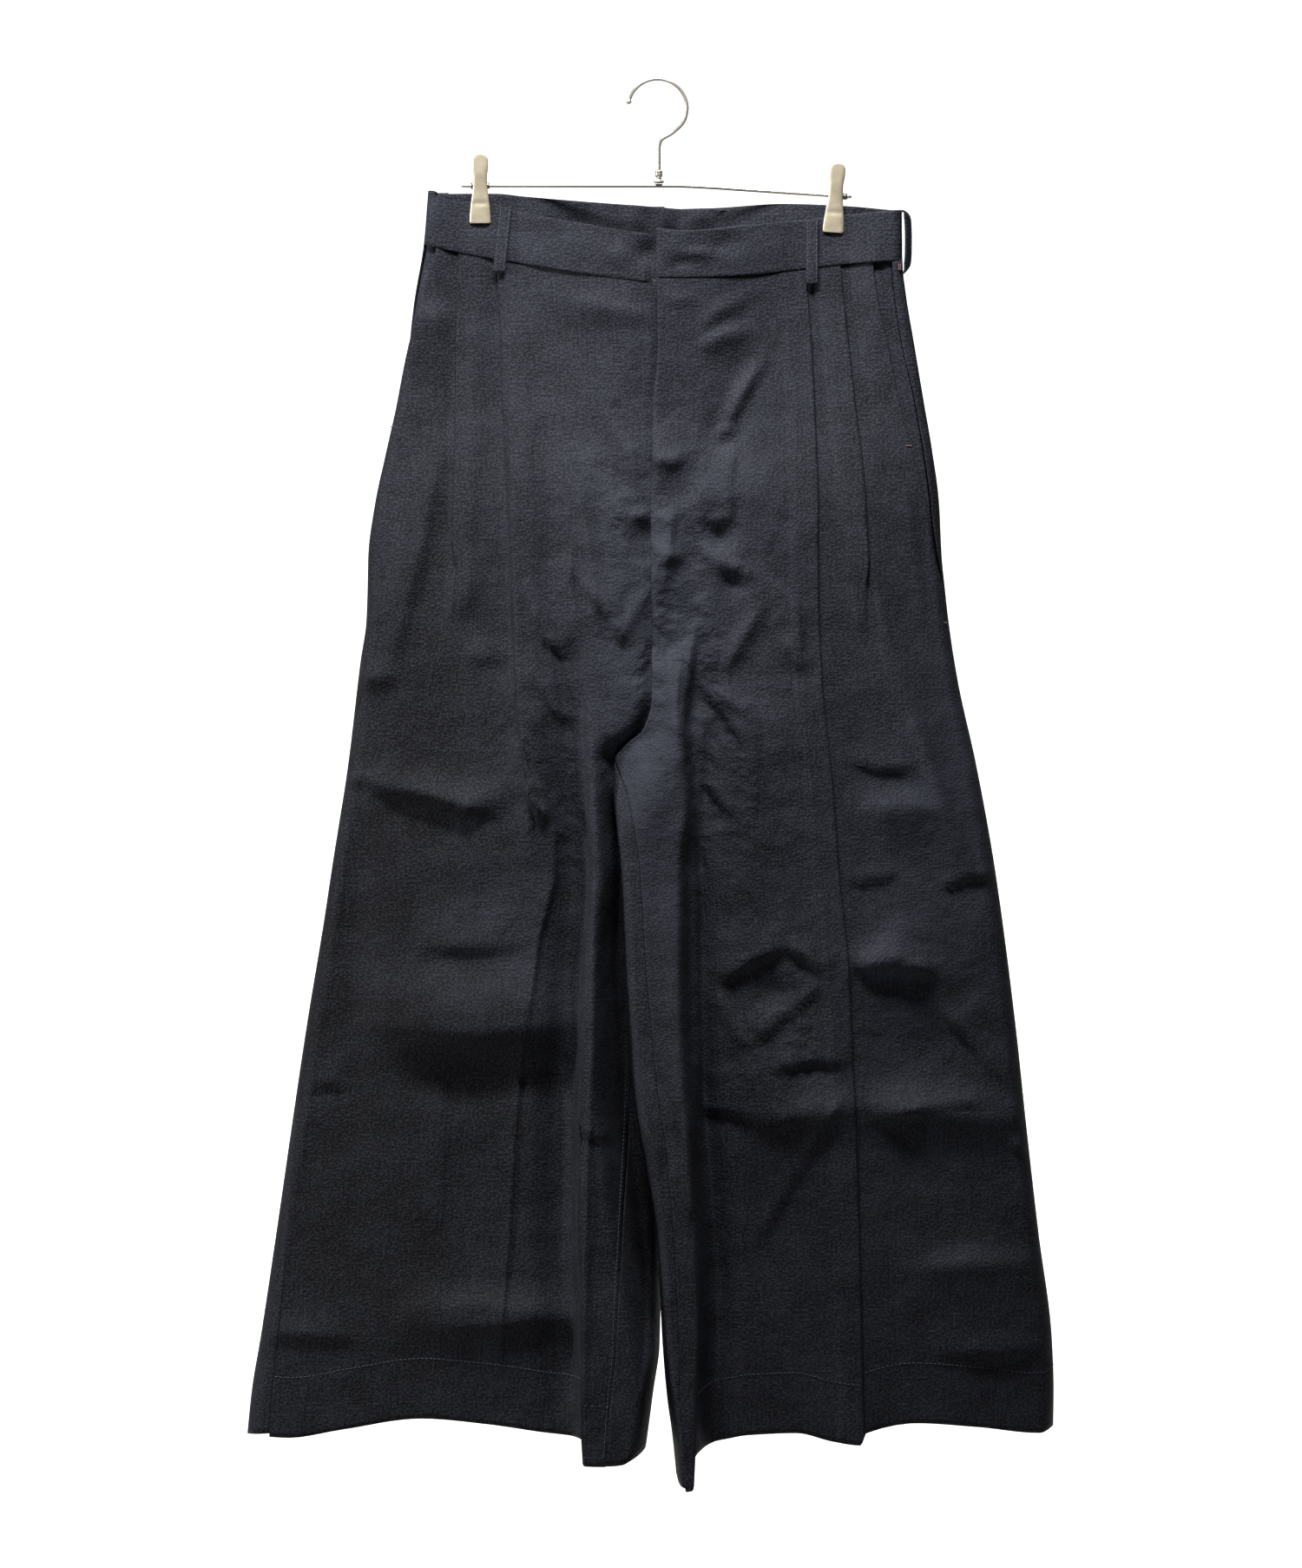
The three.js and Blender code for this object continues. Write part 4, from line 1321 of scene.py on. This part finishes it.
def plated_steel(name, colour, roughness, brushing, metallic):
    """Plated steel: metallic, or partly so under a tinted lacquer, with fine polishing
    marks that catch the light."""
    material, tree = blank(name)
    place = object_place(tree)
    grain = noise(tree, scaled(tree, place, (2600, 2600, 160)), 1.0, 3.0)
    cloud = noise(tree, place, 160.0, 2.0)
    finish(
        tree,
        Base_Color=linear(colour),
        Metallic=metallic,
        Roughness=ranged(tree, cloud, (0.3, 0.7), (roughness * 0.8, roughness * 1.25)),
        Normal=bumped(tree, grain, 0.00004, brushing),
    )
    return material


def matt_paint(name, colour):
    """A studio surface: plain matt paint, lit up towards the wall so that it reads as
    white there, while the floor in front throws no light up at the cloth."""
    material, tree = blank(name)
    away = add(tree, "ShaderNodeSeparateXYZ", Vector=object_place(tree)).outputs["Y"]
    finish(
        tree,
        Base_Color=linear(colour),
        Roughness=0.9,
        Specular_IOR_Level=0.1,
        Emission_Color=(1, 1, 1, 1),
        Emission_Strength=ranged(tree, away, (0.5, 1.1), (0, 1), "SMOOTHSTEP"),
    )
    return material


INDIGO = denim("indigo_denim", "#050507", "#2b2d36")
THREAD = cotton_thread("tonal_thread", "#2a2e3a", "#5a5f70")
TACK_THREAD = cotton_thread("russet_tack_thread", "#3c2829", "#6f4d4b")
# Painted shade: near-black thread that stands for the shade inside two slits in the back band.
SLIT_SHADE_THREAD = cotton_thread("slit_shade_dark_thread", "#050506", "#0e0e12")
NICKEL = plated_steel("bright_nickel_plate", "#c2bdb2", 0.3, 0.15, 0.75)
CHAMPAGNE = plated_steel("champagne_lacquered_steel", "#b1a790", 0.42, 0.4, 0.45)
SLEEVE = plated_steel("dark_nickel_sleeve", "#6a655c", 0.4, 0.3, 0.8)

# --- Leg panels ------------------------------------------------------------------------

# Flat width, length and area of each panel as cut, in metres, and the band above it.
CUT = {
    "front_left": ((0.42, 0.98), 0.352, "waistband_front_left"),
    "back_left": ((0.46, 0.98), 0.372, "waistband_back"),
    "front_right": ((0.40, 0.98), 0.330, "waistband_front_right"),
    "back_right": ((0.44, 0.98), 0.362, "waistband_back"),
}
# Columns in which the threads run straight down: beside the inner pleat, and mid back.
GRAIN = {"front": FRONT_COLUMNS.index(("inner", len(FOLD) - 6)), "rear": BACK_COUNT // 2}
panels = {}
for node, (size, area, band) in CUT.items():
    leg = LEFT if "left" in node else RIGHT
    if "front" in node:
        pleats = {k: PLEATS["%s_%s" % (leg["name"], k)] for k in ("inner", "outer")}
        panels[node] = front_panel(leg, pleats)
    else:
        panels[node] = back_panel(leg)
    inside_out = node in ("back_left", "front_right")
    face = "front" if "front" in node else "rear"
    grain = GRAIN[face]
    piece = sheet_of("cloth_" + node, panels[node], CLOTH, INDIGO, inside_out, grain, face=face)
    hang_cloth(piece, node)

# --- Pocket facings --------------------------------------------------------------------


def facing_grid(side):
    """A strip a step inside the front panel's slanted edge, over to the back panel."""
    drop = np.linspace(140 if side is LEFT else 128, 388, 61)[:, None]
    a = seam_at(side, "seam", drop) - 7
    b = np.maximum(seam_at(side, "back", drop) - 0.3, a + 5)
    r = mix(a, b, np.linspace(0, 1, 13)[None])
    drop = np.broadcast_to(drop, r.shape)
    x0, y0, _ = ring_front(side, r - 0.05, drop)
    x1, y1, _ = ring_front(side, r + 0.05, drop)
    size = np.hypot(x1 - x0, y1 - y0)
    x, y, _ = ring_front(side, r, drop)
    x, y = x - (y1 - y0) / size * 2.3, y + (x1 - x0) / size * 2.3
    return np.stack([side["sign"] * x, y, -drop], axis=-1)


for leg in (LEFT, RIGHT):
    node = "pocket_facing_" + leg["name"]
    piece = sheet_of("cloth_" + node, facing_grid(leg), CLOTH, INDIGO, leg is RIGHT)
    hang_cloth(piece, node)

# --- Waistband -------------------------------------------------------------------------

# Crumples of the waistband: across, drop, half widths, height.
FRONT_DENTS = rows_of("""
    across drop wide high height
    -10 139 9 10 -4
    -32 140 13 8 1.6
    9 140 7 9 1.2
    20 147 9 5 -1.8
    33 139 11 4 2.2
    50 134 9 5 -1.4
    54 128 12 7 -1.4
    -60 134 16 12 0.9
    90 133 18 12 0.8
    -90 128 14 12 -0.8
    165 125 14 10 0.8
    -160 116 10 14 0.8
    """)
BACK_DENTS = rows_of("""
    across drop wide high height
    -18 112 6 16 -1.8
    -6 112 5 16 1.8
    6 112 5 16 -1.8
    18 112 6 16 1.8
    32 112 7 14 -1.5
    46 116 7 12 1.2
    -60 114 14 12 1.0
    96 114 14 12 -0.8
    -104 112 12 12 -0.8
    """)


def over_pleats(side, u, share):
    """The band's lower edge stands further out where it covers the folded pleats."""
    limit = side["edge"].at("out", 110) - BAND_INSET
    along = smooth(30, 80, u) * (1 - smooth(limit - 14, limit, u))
    return 1.3 * along * smooth(0.3, 1, share)


def front_band_grid(side, start):
    """From the inner end to the round end at the side seam: the height is shared evenly
    between the top and bottom lines."""
    line = band_line(side)
    limit = side["edge"].at("out", 110) - BAND_INSET
    end = limit + BAND_TURN * np.pi / 2 - 0.15
    r = np.concatenate([np.linspace(start, limit, 120)[:-1], np.linspace(limit, end, 10)])
    x = side["sign"] * np.minimum(r, limit + BAND_TURN)
    share = np.linspace(0, 1, 17)[:, None]
    drop = mix(line.at("top", x), line.at("bottom", x), share)
    outer = side["edge"].at("out", np.minimum(drop, 130)) - BAND_INSET
    angle = np.clip((r - limit) / BAND_TURN, 0, None)
    u = np.where(r > limit, outer + BAND_TURN * np.sin(angle), r)
    y = np.where(r > limit, -BAND_END * np.cos(angle), band_front(side["sign"] * r))
    if side is RIGHT:
        y = y + 3.6 * (1 - smooth(0.7, 12, r))
    y = y - spots(side["sign"] * u, drop, FRONT_DENTS) * (r <= limit)
    y = y - over_pleats(side, u, share)
    return np.stack([side["sign"] * u, y, -drop], axis=-1)


def back_band_grid():
    """From the left side seam round the left end, along the back, round the right end."""
    half = 120
    n = np.concatenate([np.arange(half), half - np.arange(half + 1)])
    left = np.arange(2 * half + 1) < half
    turn = 10
    angle = mix(np.pi / 2 - 0.15 / BAND_TURN, 0, np.minimum(n, turn) / turn)
    share = np.where(n <= turn, 1, 1 - (n - turn) / (half - turn))
    part = np.linspace(0, 1, 17)[:, None]

    def outer(drop):
        left_out, right_out = (side["edge"].at("out", drop) for side in (LEFT, RIGHT))
        return np.where(left, left_out, right_out) - BAND_INSET

    sign = np.where(left, 1, -1)
    x = sign * outer(110) * share
    for _ in range(2):
        drop = mix(BAND_BACK_LINE.at("top", x), BAND_BACK_LINE.at("bottom", x), part)
        u = outer(np.minimum(drop, 130)) * share
        x = sign * u
    y = np.where(n <= turn, BAND_END * np.cos(angle), band_back(x))
    u = np.where(n <= turn, u + BAND_TURN * np.sin(angle), u)
    y = y + spots(sign * u, drop, BACK_DENTS) * (n > turn)
    return np.stack([sign * u, y, -drop], axis=-1)


# Grid of each band, and its flat length as cut and folded in two.
bands = {
    "waistband_front_left": (front_band_grid(LEFT, -0.7), 0.205),
    "waistband_front_right": (front_band_grid(RIGHT, -25), 0.22),
    "waistband_back": (back_band_grid(), 0.395),
}
for node, (points, length) in bands.items():
    piece = sheet_of(
        "cloth_" + node, points, BAND, INDIGO, node != "waistband_front_left", rim=0.8
    )
    hang_cloth(piece, node)

# --- Belt loops ------------------------------------------------------------------------

# Upper end and lower end as (across, drop), and the face: -1 front, 1 back.
LOOPS = {
    "belt_loop_front_left": ((123.8, 111.7), (123.5, 162.4), -1),
    "belt_loop_front_right": ((-121.3, 101.3), (-126.3, 152.7), -1),
    "belt_loop_side_right": ((-172, 89), (-173.5, 140), 1),
    "belt_loop_back": ((1, 99), (1, 150), 1),
}
# Drop and distance out of the side loop's middle line, along its length.
SIDE_LOOP = Table("""
    along drop out
    0 104.6 194.8
    0.06 104.0 197.2
    0.13 106.6 199.4
    0.25 113 200.5
    0.45 125 200.9
    0.65 137 200.8
    0.8 145.5 200.2
    0.9 150.5 198.9
    0.96 153.2 197.2
    1 153.9 195.2
    """)


def loop_grid(top, end, face):
    """A straight folded strip: it stands off the band, bulges at its middle, steps further out
    over the pleats, and is pressed in a little along a line near each edge, where its stitches
    lie."""
    t = np.linspace(0, 1, 37)[:, None]
    s = np.linspace(-1, 1, 15)[None]
    x = mix(top[0], end[0], t) + s * 5 * -face
    drop = mix(top[1], end[1], t) + 0 * s
    base = band_front(x) if face < 0 else band_back(x)
    off = BAND / 2 + 0.5 + LOOP / 2 + (2.6 if face < 0 else 1.2) * smooth(0.25, 0.95, t)
    swell = 1.2 * np.sin(np.pi * t) - 0.3 * bell(np.abs(s), 0.66, 0.12) + 0.15 * (1 - s * s)
    return np.stack([x, base + face * (off + swell), -drop], axis=-1)


def side_loop_grid():
    """The side loop leaves the band's top edge, hangs free of its round end and comes
    back below it, turned so that much of its outer face shows from the front."""
    t = np.linspace(0, 1, 61)[:, None]
    s = np.linspace(-1, 1, 15)[None]
    free = smooth(0, 0.2, t) * (1 - smooth(0.8, 1, t))
    out = SIDE_LOOP.at("out", t) - 0.3 * bell(np.abs(s), 0.66, 0.12)
    drop = SIDE_LOOP.at("drop", t) + 0 * s
    return np.stack([out + 2.5 * s * free, s * mix(4.8, 4.2, free), -drop], axis=-1)


loops = {node: loop_grid(*place) for node, place in LOOPS.items()}
loops["belt_loop_side_left"] = side_loop_grid()
for node, points in loops.items():
    front = node.startswith("belt_loop_front")
    band = node.replace("belt_loop", "waistband") if front else "waistband_back"
    piece = sheet_of("cloth_" + node, points, LOOP, INDIGO, False, grain=7, rim=0.4)
    hang_cloth(piece, node)

# --- Sewing ----------------------------------------------------------------------------


def hem_path(grid, columns, above, out):
    """A line across the cloth at an even height above the hem, on its outer face, and
    the direction that the cloth faces there."""
    part = grid[:, columns]
    drop = -part[..., 2]
    goal = drop[-1] - above
    rows = np.array([np.interp(g, d, np.arange(len(d))) for g, d in zip(goal, drop.T)])
    low = np.floor(rows).astype(int)
    t = (rows - low)[:, None]
    j = np.arange(part.shape[1])
    facing = normals_of(grid)[:, columns] * out
    point = mix(part[low, j], part[low + 1, j], t)
    normal = mix(facing[low, j], facing[low + 1, j], t)
    return point + normal * CLOTH / 2, normal


def outer_runs(kind, folded):
    """Column numbers of the stretches of cloth that lie uppermost at the hem. Only the
    named pleat is still folded there."""
    if kind == "back":
        return [list(range(1, BACK_COUNT - 1))]
    runs, current = [], []
    for j, (run, index) in enumerate(FRONT_COLUMNS):
        hidden = run == folded and FOLD[index][1] < 1.8 and 3 < index < len(FOLD) - 6
        if hidden and current:
            runs.append(current)
            current = []
        if not hidden:
            current.append(j)
    return runs + [current]


for node, points in panels.items():
    out = 1 if node in ("front_left", "back_right") else -1
    folded = "inner" if node == "front_left" else ""
    for number, run in enumerate(outer_runs(node.split("_")[0], folded)):
        if len(run) < 6:
            continue
        path, normal = hem_path(points, run[1:-1], HEM_HEIGHT, out)
        step = np.abs(np.diff(path, axis=0))
        steep = np.flatnonzero(step[:, 2] > 0.7 * np.hypot(step[:, 0], step[:, 1]))
        ends = [-1, *steep, len(path) - 1]
        for part, (a, b) in enumerate(zip(ends[:-1], ends[1:])):
            if b - a < 5:
                continue
            name = "hem_stitches_%s_%d_%d" % (node, number, part)
            rows = slice(a + 1, b + 1)
            sew(name, node, path[rows], normal[rows], *PANEL_STITCH)

# The right inseam lies on the front below the crotch, and its stitches show there.
inseam = panels["front_right"]
rows = slice(90, len(inseam) - 2)
facing = -normals_of(inseam)[rows, 2]
path = inseam[rows, 2] + facing * CLOTH / 2
sew("inseam_stitches_right", "front_right", path, facing, *PANEL_STITCH)

OUTWARDS = {
    "belt_loop_front_left": (0, -1, 0),
    "belt_loop_front_right": (0, -1, 0),
    "belt_loop_side_right": (0, 1, 0),
    "belt_loop_back": (0, 1, 0),
    "belt_loop_side_left": (1, 0, 0),
}
for node, points in loops.items():
    facing = normals_of(points)
    facing = facing * np.sign(facing[18, 7] @ np.array(OUTWARDS[node]))
    for number, column in enumerate((2, 12)):
        path = points[1:-1, column] + facing[1:-1, column] * LOOP / 2
        name = "loop_stitches_%s_%d" % (node, number)
        sew(name, node, path, facing[1:-1, column], *LOOP_STITCH)


def bar_tack(name, node, centre, along, facing, length, material):
    """One zigzag thread that covers a bar tack, as a bumpy bead along its middle."""
    along, facing = (np.array(v, float) / np.linalg.norm(v) for v in (along, facing))
    steps = np.linspace(-0.5, 0.5, max(int(length / 0.3), 8))
    spine = np.array(centre) + steps[:, None] * along * length + facing * 0.15
    radii = 0.5 + 0.12 * np.cos(steps * length / 0.55 * 2 * np.pi)
    wear_part(sweep(name, spine, radii, 8, material, across=facing), node)


def on_panel(node, x, drop):
    """The point of a panel nearest to a place seen from the front."""
    points = panels[node]
    near = np.hypot(points[..., 0] - x, points[..., 2] + drop) - 0.02 * points[..., 1]
    return points[np.unravel_index(np.argmin(near), near.shape)]


for word, node, x, drop, shift, along in (
    ("pocket_right", "front_right", -211, 278, 0, (1, 0, 0.1)),
    ("pocket_left_top", "front_left", 201, 292, 0, (1, 0, 0)),
    ("pocket_left_end", "front_left", 229, 434, 0.2, (1, 0, -0.2)),
):
    centre = on_panel(node, x, drop) + TACK_LIFT + [shift, 0, 0]
    bar_tack("tack_" + word, node, centre, along, (0, -1, 0), 4.5, TACK_THREAD)
for number, x in enumerate((193.2, 194.4)):
    name, centre = "tack_side_loop_%d" % number, (x, -6.4, -149)
    facing = (0.5, -0.8, 0)
    bar_tack(name, "belt_loop_side_left", centre, (0, 0, 1), facing, 5, TACK_THREAD)
# Two slits inside the back band, drawn as near-black thread beads: their darkness is painted
# shade of the openings.
for word, x in (("left", 54), ("right", -24)):
    y = float(band_back(np.array(x))) - BAND / 2
    name, centre = "inside_mark_" + word, (x, y, -102.8)
    bar_tack(name, "waistband_back", centre, (1, 0, 0), (0, -1, 0), 14, SLIT_SHADE_THREAD)

# --- Hanger ----------------------------------------------------------------------------


def rounded_path(rows, step):
    """A smooth path through points: each leg is a cubic whose end directions are half
    the chord between the neighbouring points."""
    p = np.asarray(rows, float)
    m = np.gradient(p, axis=0)
    legs = []
    for a, b, ma, mb in zip(p[:-1], p[1:], m[:-1], m[1:]):
        count = max(int(np.linalg.norm(b - a) / step), 2)
        t = np.linspace(0, 1, count, endpoint=False)[:, None]
        legs.append(
            a * (1 + 2 * t) * (1 - t) ** 2
            + ma * t * (1 - t) ** 2
            + b * t * t * (3 - 2 * t)
            + mb * t * t * (t - 1)
        )
    return np.concatenate(legs + [p[-1:]])


def hook_path():
    """Three quarters of a circle, then a swan neck down to the upright stem."""
    a = np.radians(np.linspace(172, 0, 90))
    arc = np.stack([0.3 + 23.6 * np.cos(a), 0 * a, 23.6 * np.sin(a) - 22.1], axis=1)
    rows = rows_of("""
    across drop
    23.2 14.5
    23.9 22.1
    21 33
    12.5 41.5
    4.2 46.5
    1.6 52
    1.4 60
    1.4 71.6
    """)
    neck = rounded_path([(x, 0, -drop) for x, drop in rows], 0.9)
    start = int(np.argmin(np.abs(neck[:, 2] + 22.1) + (neck[:, 0] < 20) * 99))
    return np.concatenate([arc, neck[start + 1 :]])


hook = hook_path()
travel = np.concatenate([[0], np.cumsum(np.linalg.norm(np.diff(hook, axis=0), axis=1))])
ball = np.sqrt(np.clip(2.3**2 - (travel - 2.2) ** 2, 0, None))
wire = np.maximum(np.maximum(ball, 0.3), WIRE * smooth(2.0, 2.2, travel))
wear_part(sweep("hanger_hook_wire", hook, wire, 24, NICKEL), "hanger_hook")

rod_rows = rows_of("""
    across drop
    -157 83.8
    -80 83.8
    2 83.8
    30 84.4
    71 87
    110 89.7
    155.5 92.7
    """)
rod = rounded_path([(x, 0, -drop) for x, drop in rod_rows], 3.0)
tip = np.minimum(np.arange(len(rod)), np.arange(len(rod))[::-1])
wire = WIRE * np.where(tip == 0, 0.7, 1.0)
wear_part(sweep("hanger_rod_wire", rod, wire, 24, NICKEL), "hanger_rod")

# Profile of the turned ferrule, from its upper end down.
FERRULE = rows_of("""
    radius drop
    0.4 71.4
    2.3 71.4
    2.7 71.7
    3.0 72.3
    3.0 73.4
    2.8 73.7
    3.0 74.0
    3.0 76.4
    2.6 76.9
    1.95 77.3
    1.9 78.2
    1.95 79.1
    2.6 79.4
    3.8 79.6
    4.2 80.0
    4.2 80.9
    3.9 81.4
    3.4 81.8
    0.4 81.9
    """)
turned = np.array(FERRULE)
angle = np.linspace(0, 2 * np.pi, 40, endpoint=False)
x, y = 1.4 + turned[:, :1] * np.cos(angle), -turned[:, :1] * np.sin(angle)
rings = np.stack([x, y, -turned[:, 1:] + 0 * angle], axis=-1)
piece = closed_tube("hanger_ferrule_turned", rings, NICKEL)
wear_part(piece, "hanger_ferrule")

# Outline of a clip's jaw: half width down its length.
JAW = Table("""
    down half
    0 2.2
    0.5 3.6
    1.6 4.8
    3.2 5.8
    5 6.1
    9 6.1
    17 5.2
    24 5.4
    36 6.7
    46 7.8
    54.2 8.2
    55 7.7
    """)
# Across, drop and tilt of each clip.
CLIPS = {"right": (-141.5, 59, 0.0), "left": (144.6, 66.5, 0.075)}


def jaw_grid(x0, drop0, tilt, face, lean):
    """A pressed plate: its half width follows its outline, its middle is crowned and its
    long edges are bent back, and its upper end leans away from the rod."""
    down = np.concatenate([np.linspace(0, 5, 12), np.linspace(5, 55, 60)[1:]])[:, None]
    s = np.linspace(-1, 1, 25)[None]
    half = JAW.at("half", down)
    x = half * s
    edge = np.abs(s) ** 8
    out = 4.55 - 0.35 * s**2 - 1.0 * edge + lean * (1 - smooth(14, 34, down)) ** 2
    out = out - 0.5 * bell(down, 39, 2.2) * (1 - s**4)
    y = face * out
    z = -down + 0 * s
    c, t = math.cos(tilt), math.sin(tilt)
    return np.stack([x0 + c * x + t * z, y, -drop0 - t * x + c * z], axis=-1)


for word, (x, drop, tilt) in CLIPS.items():
    for part, face, lean in (("front", -1, 1.0), ("back", 1, 3.3)):
        points = jaw_grid(x, drop, tilt, face, lean)
        name = "jaw_%s_%s" % (word, part)
        piece = sheet_of(name, points, JAW_PLATE, CHAMPAGNE, face > 0, rim=0.25)
        wear_part(piece, "clip_%s_%s" % (word, part))
    slope = float(np.interp(x, [2, 30, 71, 155.5], [0, 0.04, 0.064, 0.067]))
    run = np.linspace(-7.5, 7.5, 14)
    level = float(np.interp(x, [r[0] for r in rod_rows], [r[1] for r in rod_rows]))
    spine = np.stack([x + run, 0 * run, -level - slope * run], axis=1)
    radii = 2.62 - 0.25 * (np.abs(run) > 7.4)
    piece = sweep("sleeve_" + word, spine, radii, 28, SLEEVE)
    wear_part(piece, "clip_%s_sleeve" % word)

# --- Stage, lights and camera ------------------------------------------------------------


def studio():
    """A pale sweep: floor, a wide curve and a wall, as one profile drawn out sideways."""
    floor, wall, radius = -2300.0, 16000.0, 500.0
    bend = np.linspace(0, np.pi / 2, 24)
    y = np.concatenate([[-16000], wall - radius + radius * np.sin(bend), [wall]])
    z = np.concatenate([[floor], floor + radius - radius * np.cos(bend), [6000]])
    grid = np.zeros((len(y), 2, 3))
    grid[..., 0] = [-7000, 7000]
    grid[..., 1] = y[:, None]
    grid[..., 2] = z[:, None]
    paint = matt_paint("matt_white_paint", "#f4f4f3")
    mesh_of("studio_sweep", grid, grid_faces(len(y), 2), paint)


def soft_light(name, place, target, size, power):
    data = bpy.data.lights.new(name, "AREA")
    data.shape = "RECTANGLE"
    data.size, data.size_y = size
    data.energy = power
    lamp = link(name, data)
    lamp.location = place
    aim = np.array(target) - np.array(place)
    lamp.rotation_euler = Vector(aim).to_track_quat("-Z", "Y").to_euler()


studio()
soft_light("key", (-0.1, -0.58, 0.96), (0, 0, -0.35), (0.6, 0.25), 57)
soft_light("rake", (-2.3, -0.55, 0.3), (0.05, 0, -0.45), (0.3, 0.7), 50)
soft_light("rear_light", (0.2, 1.2, 0.9), (0, 0, -0.5), (1.2, 0.5), 12)

world = bpy.data.worlds.new("studio_air")
world.use_nodes = True
air = world.node_tree.nodes["Background"]
air.inputs["Color"].default_value = (0.92, 0.95, 1.0, 1)
air.inputs["Strength"].default_value = 0.012
bpy.context.scene.world = world
bpy.context.scene.view_settings.view_transform = "Standard"

# The picture is 1500 x 1806, at 0.694 mm a pixel on the garment's plane.
DISTANCE = 8.0
VIEW_WIDTH = 1500 * 0.694 * MM
camera_data = bpy.data.cameras.new("camera")
camera_data.sensor_fit = "HORIZONTAL"
camera_data.sensor_width = 36
camera_data.lens = 36 * DISTANCE / VIEW_WIDTH
camera = link("camera", camera_data)
camera.location = (-0.0049, -DISTANCE, -0.562)
camera.rotation_euler = (math.pi / 2, 0, 0)
bpy.context.scene.camera = camera
